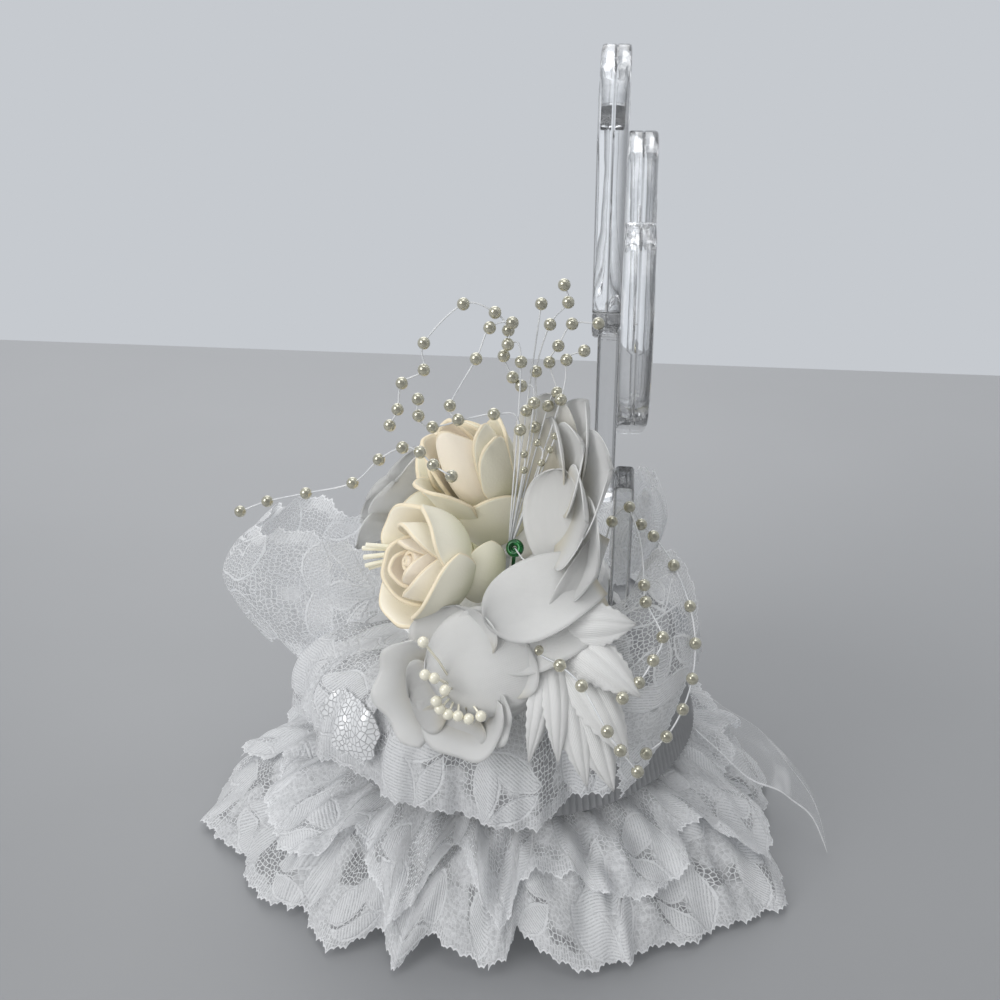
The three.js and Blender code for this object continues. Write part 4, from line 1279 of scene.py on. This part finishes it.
class TOPPER_OT_blossoms(bpy.types.Operator):
    """Three white silk blossoms and the stamens of the lower one"""

    bl_idname = "topper.blossoms"
    bl_label = "Blossoms"

    def execute(self, context):
        self.upper(context)
        self.lower(context)
        self.front(context)
        self.stamens(context)
        return {"FINISHED"}

    def layer(self, context, name, place, base_radius, base_height, forms, loose=()):
        """One layer of a silk flower: petals round its axis, loose petals and the button that holds them."""
        made = []
        for turn, points in forms:
            made.append(patch(place.put(round_flower(points, turn, base_radius, base_height))))
        ends = place.put(np.array([[0, 0, base_height - 1.0], [0, 0, base_height + 1.0]]))
        button = tube(ends, base_radius + 0.6, sides=16)
        node = f"blossom_{name}_layer"
        silk = context.scene.topper_sizes.silk
        add_piece(context, node + "_petals", [*made, *loose, button], "white_silk", node, thickness=silk)

    def upper(self, context):
        """The blossom beside the hearts, with loose petals that stand up and reach over the lower one."""
        outer = [
            silk_petal(12, 22, 13, (-0.05, 0.05)),
            silk_petal(62, 23, 13, (0.0, 0.1)),
            silk_petal(112, 23, 13, (0.05, 0.2)),
            silk_petal(165, 22, 13, (0.2, 0.5)),
            silk_petal(220, 21, 13, (0.3, 0.5)),
        ]
        inner = [
            silk_petal(36, 20, 12, (0.05, 0.12)),
            silk_petal(82, 20, 12, (0.12, 0.2)),
            silk_petal(128, 19, 12, (0.25, 0.4)),
        ]
        upright = loose_petal(
            (27, 14.5, 101), (19, 10.5, 128), (0.9, -0.35, 0.25), 8.5, (0.25, 0.0, -0.1), roll=0.3, warm=2.2
        )
        tongue = loose_petal(
            (40, 17.9, 92.2), (34, 12, 114.7), (0.85, -0.5, 0.3), 8, (0.35, 0.0, -0.2), roll=0.35
        )
        high_reach = loose_petal(
            (44, 23.5, 94.5), (61, 2.8, 95.2), (0.65, 0.1, 0.85), 9.5, (0.45, -0.1, -0.2, 0.25), roll=0.12
        )
        low_reach = loose_petal(
            (45, 26.2, 89.3), (62.5, 1.4, 86.8), (0.75, 0.1, 0.75), 10, (0.35, 0.0, -0.2, 0.1), roll=0.08
        )
        curl = loose_petal(
            (42, 24.9, 103.7), (58, 17.5, 91.4), (0.9, 0.3, 0.35), 3.2, (0.2, 0.0, -0.2), roll=0.35
        )
        loose = [upright, tongue, high_reach, low_reach, curl]
        self.layer(context, "upper_outer", UPPER_BLOSSOM, 4.9, OUTER_HEIGHT, outer)
        self.layer(context, "upper_inner", UPPER_BLOSSOM, 3.9, INNER_HEIGHT, inner, loose)

    def lower(self, context):
        """The blossom nearest the camera: a bowl of wide petals under a hood of two."""
        outer = [silk_petal(120, 15, 12, (-0.3, -0.2)), silk_petal(170, 15, 12, (-0.1, 0.0))]
        inner = [silk_petal(335, 9, 9, (0.1, 0.3)), silk_petal(265, 10, 9, (0.2, 0.4))]
        hood = {
            "faces": (0.87, 0.05, 0.5), "half_width": 12.4, "climb": (0.5, 0.1, -0.2, -0.4), "roll": -0.25,
        }
        loose = [
            loose_petal((55, 15, 81), (71, -8.8, 83.6), **hood),
            loose_petal((53, 14.5, 79), (69.6, -8.2, 80.6), **hood),
            bowl_petal(36, 0.75, 8.0, 15.5, 4.5),
            bowl_petal(-8, 1.4, 8.0, 15.5, 6.2),
            bowl_petal(255, 0.95, 12.5, 20.0, 8.5),
        ]
        self.layer(context, "lower_outer", LOWER_BLOSSOM, 4.2, OUTER_HEIGHT, outer, loose)
        self.layer(context, "lower_inner", LOWER_BLOSSOM, 3.3, INNER_HEIGHT, inner)

    def front(self, context):
        """The even blossom on the side that the topper faces."""
        outer = even_layer(5, turn=17, length=17, half_width=11, climb=(0.15, 0.3))
        inner = even_layer(5, turn=53, length=13, half_width=8.5, climb=(0.4, 0.6))
        self.layer(context, "front_outer", FRONT_BLOSSOM, 3.8, OUTER_HEIGHT, outer)
        self.layer(context, "front_inner", FRONT_BLOSSOM, 3.0, INNER_HEIGHT, inner)

    def stamens(self, context):
        """Pearl drops on short threads that stand in an arc under the large petal of the lower blossom."""
        root = LOWER_BLOSSOM.put(np.array([0, 0, 4.4]))
        drops = []
        for y, z in STAMEN_TIPS:
            tip = np.array([STAMEN_DEPTH, y, z])
            bent = 0.4 * root + 0.6 * tip - [1, 0, 0]
            drops.append(ball(tip, radius=1.3, whorl=0.0))
            drops.append(tube([root, bent, tip], radius=0.3, sides=6, whorl=0.0))
        add_piece(context, "stamen_pearls", drops, "pearl", "blossom_lower_stamens", closed=True)


# Leaves

LEAF_ROOT = (47, 13, 82)
LEAF_STEM_END = (23, 10, 68)
LEAF_BELLY = 5.0
LEAF_OUTWARD = np.array([0.8, 0.3, 0.5])


def leaf_blade(root, tip, half_width, belly):
    """A pleated leaf: a half width on a sine with fine teeth, and pleats that fade to the tip.

    Its middle bellies out on a half sine, and its sides fall by the square of the share across.
    """
    root, tip = np.array(root, float), np.array(tip, float)
    along = tip - root
    outward = unit(LEAF_OUTWARD - unit(along) * (LEAF_OUTWARD @ unit(along)))
    across = np.cross(unit(along), outward)
    v = down_rows(0, 1, 61)
    s = over_columns(-1, 1, 37)
    teeth = 1 + 0.06 * np.abs(s) ** 8 * np.sin(26 * math.pi * v)
    width = half_width * teeth * (0.14 * (1 - v) + 0.86 * np.sin(math.pi * (0.04 + 0.95 * v**1.15)) ** 0.7)
    crease = np.abs(np.sin(1.5 * math.pi * s + 0.8 * np.sin(3 * v))) * (1 - v) ** 0.5 * np.sqrt(v)
    pleats = 0.16 * half_width * crease
    flutter = 0.12 * half_width * s * np.sin(6 * v + 2 * s) * v
    lift = belly * np.sin(math.pi * v) - 0.3 * width * s**2 + pleats + flutter
    reach = v - 0.05 * s**2 * v
    return root + reach[..., None] * along + (width * s)[..., None] * across + lift[..., None] * outward


class TOPPER_OT_leaves(bpy.types.Operator):
    """The spray of pleated satin leaves"""

    bl_idname = "topper.leaves"
    bl_label = "Leaves"

    def execute(self, context):
        tips_and_half_widths = (
            ((52, 33.5, 86.9), 5.8), ((60, 35, 73), 5.7), ((65, 33, 60), 5.8), ((67, 30, 52.5), 6.2),
            ((68, 24, 54), 5.0), ((68, 17.5, 60), 3.8), ((68, 11, 59.5), 3.4),
        )
        blades = [patch(leaf_blade(LEAF_ROOT, tip, width, LEAF_BELLY)) for tip, width in tips_and_half_widths]
        stem = tube([LEAF_ROOT, LEAF_STEM_END], radius=1.2, sides=8)
        shapes = blades + [stem, ball(LEAF_ROOT, radius=1.8)]
        silk = context.scene.topper_sizes.silk
        add_piece(context, "satin_leaves", shapes, "white_satin", "satin_leaf_spray", thickness=silk)
        return {"FINISHED"}


# Pearls

SPRAY_KNOT = (30, 2.5, 92)
SPRAY_STEM_END = (26, -1, 66)
ROSE_TUCK = (14, -13.4, 104.8)
SPRAY_LOOPS = (
    ((26, 8, 129), (26, 5, 133), (26, 3, 135), (26, 1, 140), (26, 2, 146), (26, -1, 150), (27, -8, 152),
     (28, -17, 143), (29, -17, 137), (30, -22, 134), (31, -23, 128), (31, -25, 124)),
    ((27, 5, 139), (27, 2, 143), (27, 3, 148), (28, -2, 147), (29, -5, 140), (30, -11, 129), (31, -9, 126)),
    ((28, 5, 123), (29, -1, 127), (31, -15, 124), (32, -18, 127), (32, -18, 131)),
)
SPRAY_FAN = (
    ((22, 11, 127), (21, 13, 130), (20, 11, 137), (20, 13, 141), (19, 16, 146), (18, 22, 146)),
    ((23, 8, 122), (21, 8, 135), (20, 11, 146), (19, 15, 151), (19, 14, 155)),
    ((23, 14, 129), (21, 15, 138), (20, 19, 140)),
    ((23, 6, 126), (21, 9, 151)),
)
SPRAY_OVER_ROSE = (
    ROSE_TUCK, (36, -10, 114), (37, -14, 117), (37, -17, 120), (37, -21, 121), (35, -27, 117),
    (33, -34, 110), (31, -46, 106), (30, -56, 103), (30, -63, 100),
)
SPRAY_TWIGS = (
    ((28, 10, 115), (28, 9, 120)),
    ((28, 6, 113), (28, 6, 117)),
    ((27, 12, 118), (26, 13, 121)),
)
SIDE_ROUTE = (
    (21, 21, 62), (22, 25, 88), (24, 27, 99), (24, 31, 103), (25, 34, 99), (27, 37, 97), (31, 42, 91.5),
    (37, 46, 84), (42, 47.5, 77), (47, 47, 70.5), (51.5, 45, 65), (55.5, 41.5, 60), (59, 37, 57.5),
)
INNER_ROUTE = (
    (24, 31, 103), (32, 34, 97), (41, 35, 91), (43.5, 35.5, 88), (49.5, 39.5, 82.5), (54, 37.5, 79),
    (58, 34.5, 75.5), (61.5, 31, 73.5),
)
LEAF_ROUTE = (
    (48.6, 13.7, 83.6), (56, 12, 81), (60, 17, 80), (63, 22, 77), (68, 28, 69), (69, 31, 65), (68, 35, 59),
)


class TOPPER_OT_pearls(bpy.types.Operator):
    """Pearl sprays on clear thread"""

    bl_idname = "topper.pearls"
    bl_label = "Pearls"

    def execute(self, context):
        sizes = context.scene.topper_sizes
        pearl = sizes.pearl_radius / MM
        seed = sizes.seed_radius / MM
        routes = [((SPRAY_KNOT,) + route, pearl) for route in SPRAY_LOOPS + SPRAY_FAN]
        routes.append((SPRAY_OVER_ROSE, pearl))
        routes += [((SPRAY_KNOT,) + route, seed) for route in SPRAY_TWIGS]
        stem = [tube([SPRAY_KNOT, SPRAY_STEM_END], radius=0.7, sides=8), ball(SPRAY_KNOT, radius=1.0)]
        self.spray(context, "pearl_spray_top", routes, bare=1, threads=stem)
        self.spray(context, "pearl_strand_side", [(SIDE_ROUTE, pearl), (INNER_ROUTE, pearl)], bare=2)
        self.spray(context, "pearl_strand_leaf", [(LEAF_ROUTE, pearl)], bare=1)
        return {"FINISHED"}

    def spray(self, context, node, routes, bare, threads=()):
        """Beads at the points of each route after its bare ones, on thread that runs through them all."""
        thin = context.scene.topper_sizes.filament_radius / MM
        beads = [ball(point, radius) for route, radius in routes for point in route[bare:]]
        threads = [*threads, *(tube(smooth_route(route), thin, sides=6) for route, radius in routes)]
        add_piece(context, node + "_beads", beads, "pearl", node, closed=True)
        add_piece(context, node + "_thread", threads, "clear_thread", node, closed=True)


class TOPPER_OT_pin(bpy.types.Operator):
    """The green-headed pin"""

    bl_idname = "topper.pin"
    bl_label = "Pin"

    def execute(self, context):
        head = np.array([34, 4.5, 95.5])
        point = np.array([24, 2, 72])
        bead = ring(head, faces=(0.9, -0.2, 0.5), ring_radius=1.35, radius=0.85)
        shapes = [bead, tube([head, point], radius=0.45, sides=10)]
        add_piece(context, "pin_bead", shapes, "green_bead", "florist_pin", closed=True)
        wire = tube(smooth_route([head, head + [5, 3, -1], head + [7, 7, -3]]), radius=0.2, sides=8)
        add_piece(context, "pin_wire", [wire], "clear_thread", "florist_pin", closed=True)
        return {"FINISHED"}


# Stage

class TOPPER_OT_stage(bpy.types.Operator):
    """Table, pale wall, soft lamps and the camera"""

    bl_idname = "topper.stage"
    bl_label = "Stage"

    def execute(self, context):
        self.table(context)
        self.world(context)
        self.lamp(context, "key", (0.8, -0.9, 0.8), size=0.8, power=5.6)
        self.lamp(context, "fill", (1.0, -0.5, 0.4), size=0.9, power=3.8)
        self.lamp(context, "top", (0.1, 0.0, 1.0), size=0.5, power=1.2)
        self.lamp(context, "back", (-0.75, -0.2, 0.8), size=0.8, power=2.4)
        self.camera(context)
        return {"FINISHED"}

    def table(self, context):
        """A grey table with painted light that makes it lighter towards the back, and that ends in a straight
        back edge.
        """
        colours = context.scene.topper_colours
        finish = Finish("table")
        cloud = finish.grain(9.0)
        # Painted light: a pool of light painted on the back of the table, fading to its own grey near the
        # camera; the cloud is its grain
        near = finish.parts(finish.position())[0].rising(-0.35, 0.12)
        finish.surface(
            Base_Color=finish.mix(near + (cloud - 0.5) * 0.2, shaded(colours.table, 1.38), colours.table),
            Roughness=0.36 + 0.08 * cloud,
        )
        half_width = 1500
        front = 2500
        corners = [
            (-465, -half_width, 0), (-414, half_width, 0), (front, half_width, 0), (front, -half_width, 0),
        ]
        mesh = bpy.data.meshes.new("table")
        mesh.from_pydata([tuple(MM * part for part in corner) for corner in corners], [], [(0, 3, 2, 1)])
        mesh.materials.append(finish.material)
        table = bpy.data.objects.new("table", mesh)
        context.scene.collection.objects.link(table)

    def world(self, context):
        """An even soft light; the camera sees the wall, and glossy and clear pieces a dim room beside it."""
        colours = context.scene.topper_colours
        world = bpy.data.worlds.new("studio")
        world.use_nodes = True
        context.scene.world = world
        nodes = Nodes(world.node_tree)
        way = nodes.parts(nodes.node("ShaderNodeTexCoord").outputs["Generated"])
        path = nodes.node("ShaderNodeLightPath")
        straight = Value(nodes, path.outputs["Is Camera Ray"])
        through = Value(nodes, path.outputs["Is Transmission Ray"])
        bent = Value(nodes, path.outputs["Is Glossy Ray"]).most(through)
        behind = way[0].rising(0.1, 0.6)
        aside = abs(way[1]).rising(0.45, 0.85)
        dim = behind.most(aside * 0.4) * (1.0 - straight)
        lit = nodes.mix(through, colours.wall, shaded(colours.wall, 1.35))
        room = nodes.mix(dim, lit, shaded(colours.wall, 0.25))
        sky = {"Color": (0.97, 0.985, 1.0, 1.0), "Strength": 0.62}
        soft = nodes.node("ShaderNodeBackground", sockets=sky)
        wall = nodes.node("ShaderNodeBackground", sockets={"Color": room})
        both = nodes.blend(straight.most(bent), soft, wall)
        nodes.feed(world.node_tree.nodes["World Output"], {"Surface": both})

    def lamp(self, context, name, place, size, power):
        """A square soft lamp that points at the middle of the topper; gloss doesn't show the fill."""
        light = bpy.data.lights.new(name, "AREA")
        light.size = size
        light.energy = power
        lamp = bpy.data.objects.new(name, light)
        lamp.location = place
        lamp.visible_glossy = name != "fill"
        middle = Vector((0, 0, 0.09))
        lamp.rotation_euler = (middle - lamp.location).to_track_quat("-Z", "Y").to_euler()
        context.scene.collection.objects.link(lamp)

    def camera(self, context):
        """The photograph's camera: beside the topper, a little above it and looking down on it."""
        turn = math.radians(96.16)
        pitch = math.radians(23.5)
        back = Vector((math.sin(turn) * math.cos(pitch), -math.cos(turn) * math.cos(pitch), math.sin(pitch)))
        data = bpy.data.cameras.new("camera")
        data.sensor_width = 36.0
        data.lens = 42.12
        camera = bpy.data.objects.new("camera", data)
        camera.location = (0.2816, 0.0277, 0.216)
        camera.rotation_euler = (-back).to_track_quat("-Z", "Y").to_euler()
        context.scene.collection.objects.link(camera)
        context.scene.camera = camera
        context.scene.view_settings.view_transform = "Standard"


# Add-on

OPERATORS = (
    TOPPER_OT_hearts,
    TOPPER_OT_base,
    TOPPER_OT_lace,
    TOPPER_OT_roses,
    TOPPER_OT_blossoms,
    TOPPER_OT_leaves,
    TOPPER_OT_pearls,
    TOPPER_OT_pin,
    TOPPER_OT_stage,
)


class TOPPER_PT_panel(bpy.types.Panel):
    """Lists the topper's pieces, sizes and colours"""

    bl_idname = "TOPPER_PT_panel"
    bl_label = "Cake topper"
    bl_space_type = "VIEW_3D"
    bl_region_type = "UI"
    bl_category = "Topper"

    def draw(self, context):
        for operator in OPERATORS:
            self.layout.operator(operator.bl_idname)
        for group in (context.scene.topper_sizes, context.scene.topper_colours):
            for name in group.bl_rna.properties.keys():
                if name not in ("rna_type", "name"):
                    self.layout.prop(group, name)


CLASSES = (TopperSizes, TopperColours, *OPERATORS, TOPPER_PT_panel)


def register():
    for made in CLASSES:
        bpy.utils.register_class(made)
    bpy.types.Scene.topper_sizes = PointerProperty(type=TopperSizes)
    bpy.types.Scene.topper_colours = PointerProperty(type=TopperColours)


def unregister():
    del bpy.types.Scene.topper_colours
    del bpy.types.Scene.topper_sizes
    for made in reversed(CLASSES):
        bpy.utils.unregister_class(made)


def main():
    register()
    for operator in OPERATORS:
        group, name = operator.bl_idname.split(".")
        getattr(getattr(bpy.ops, group), name)()


if __name__ == "__main__":
    main()
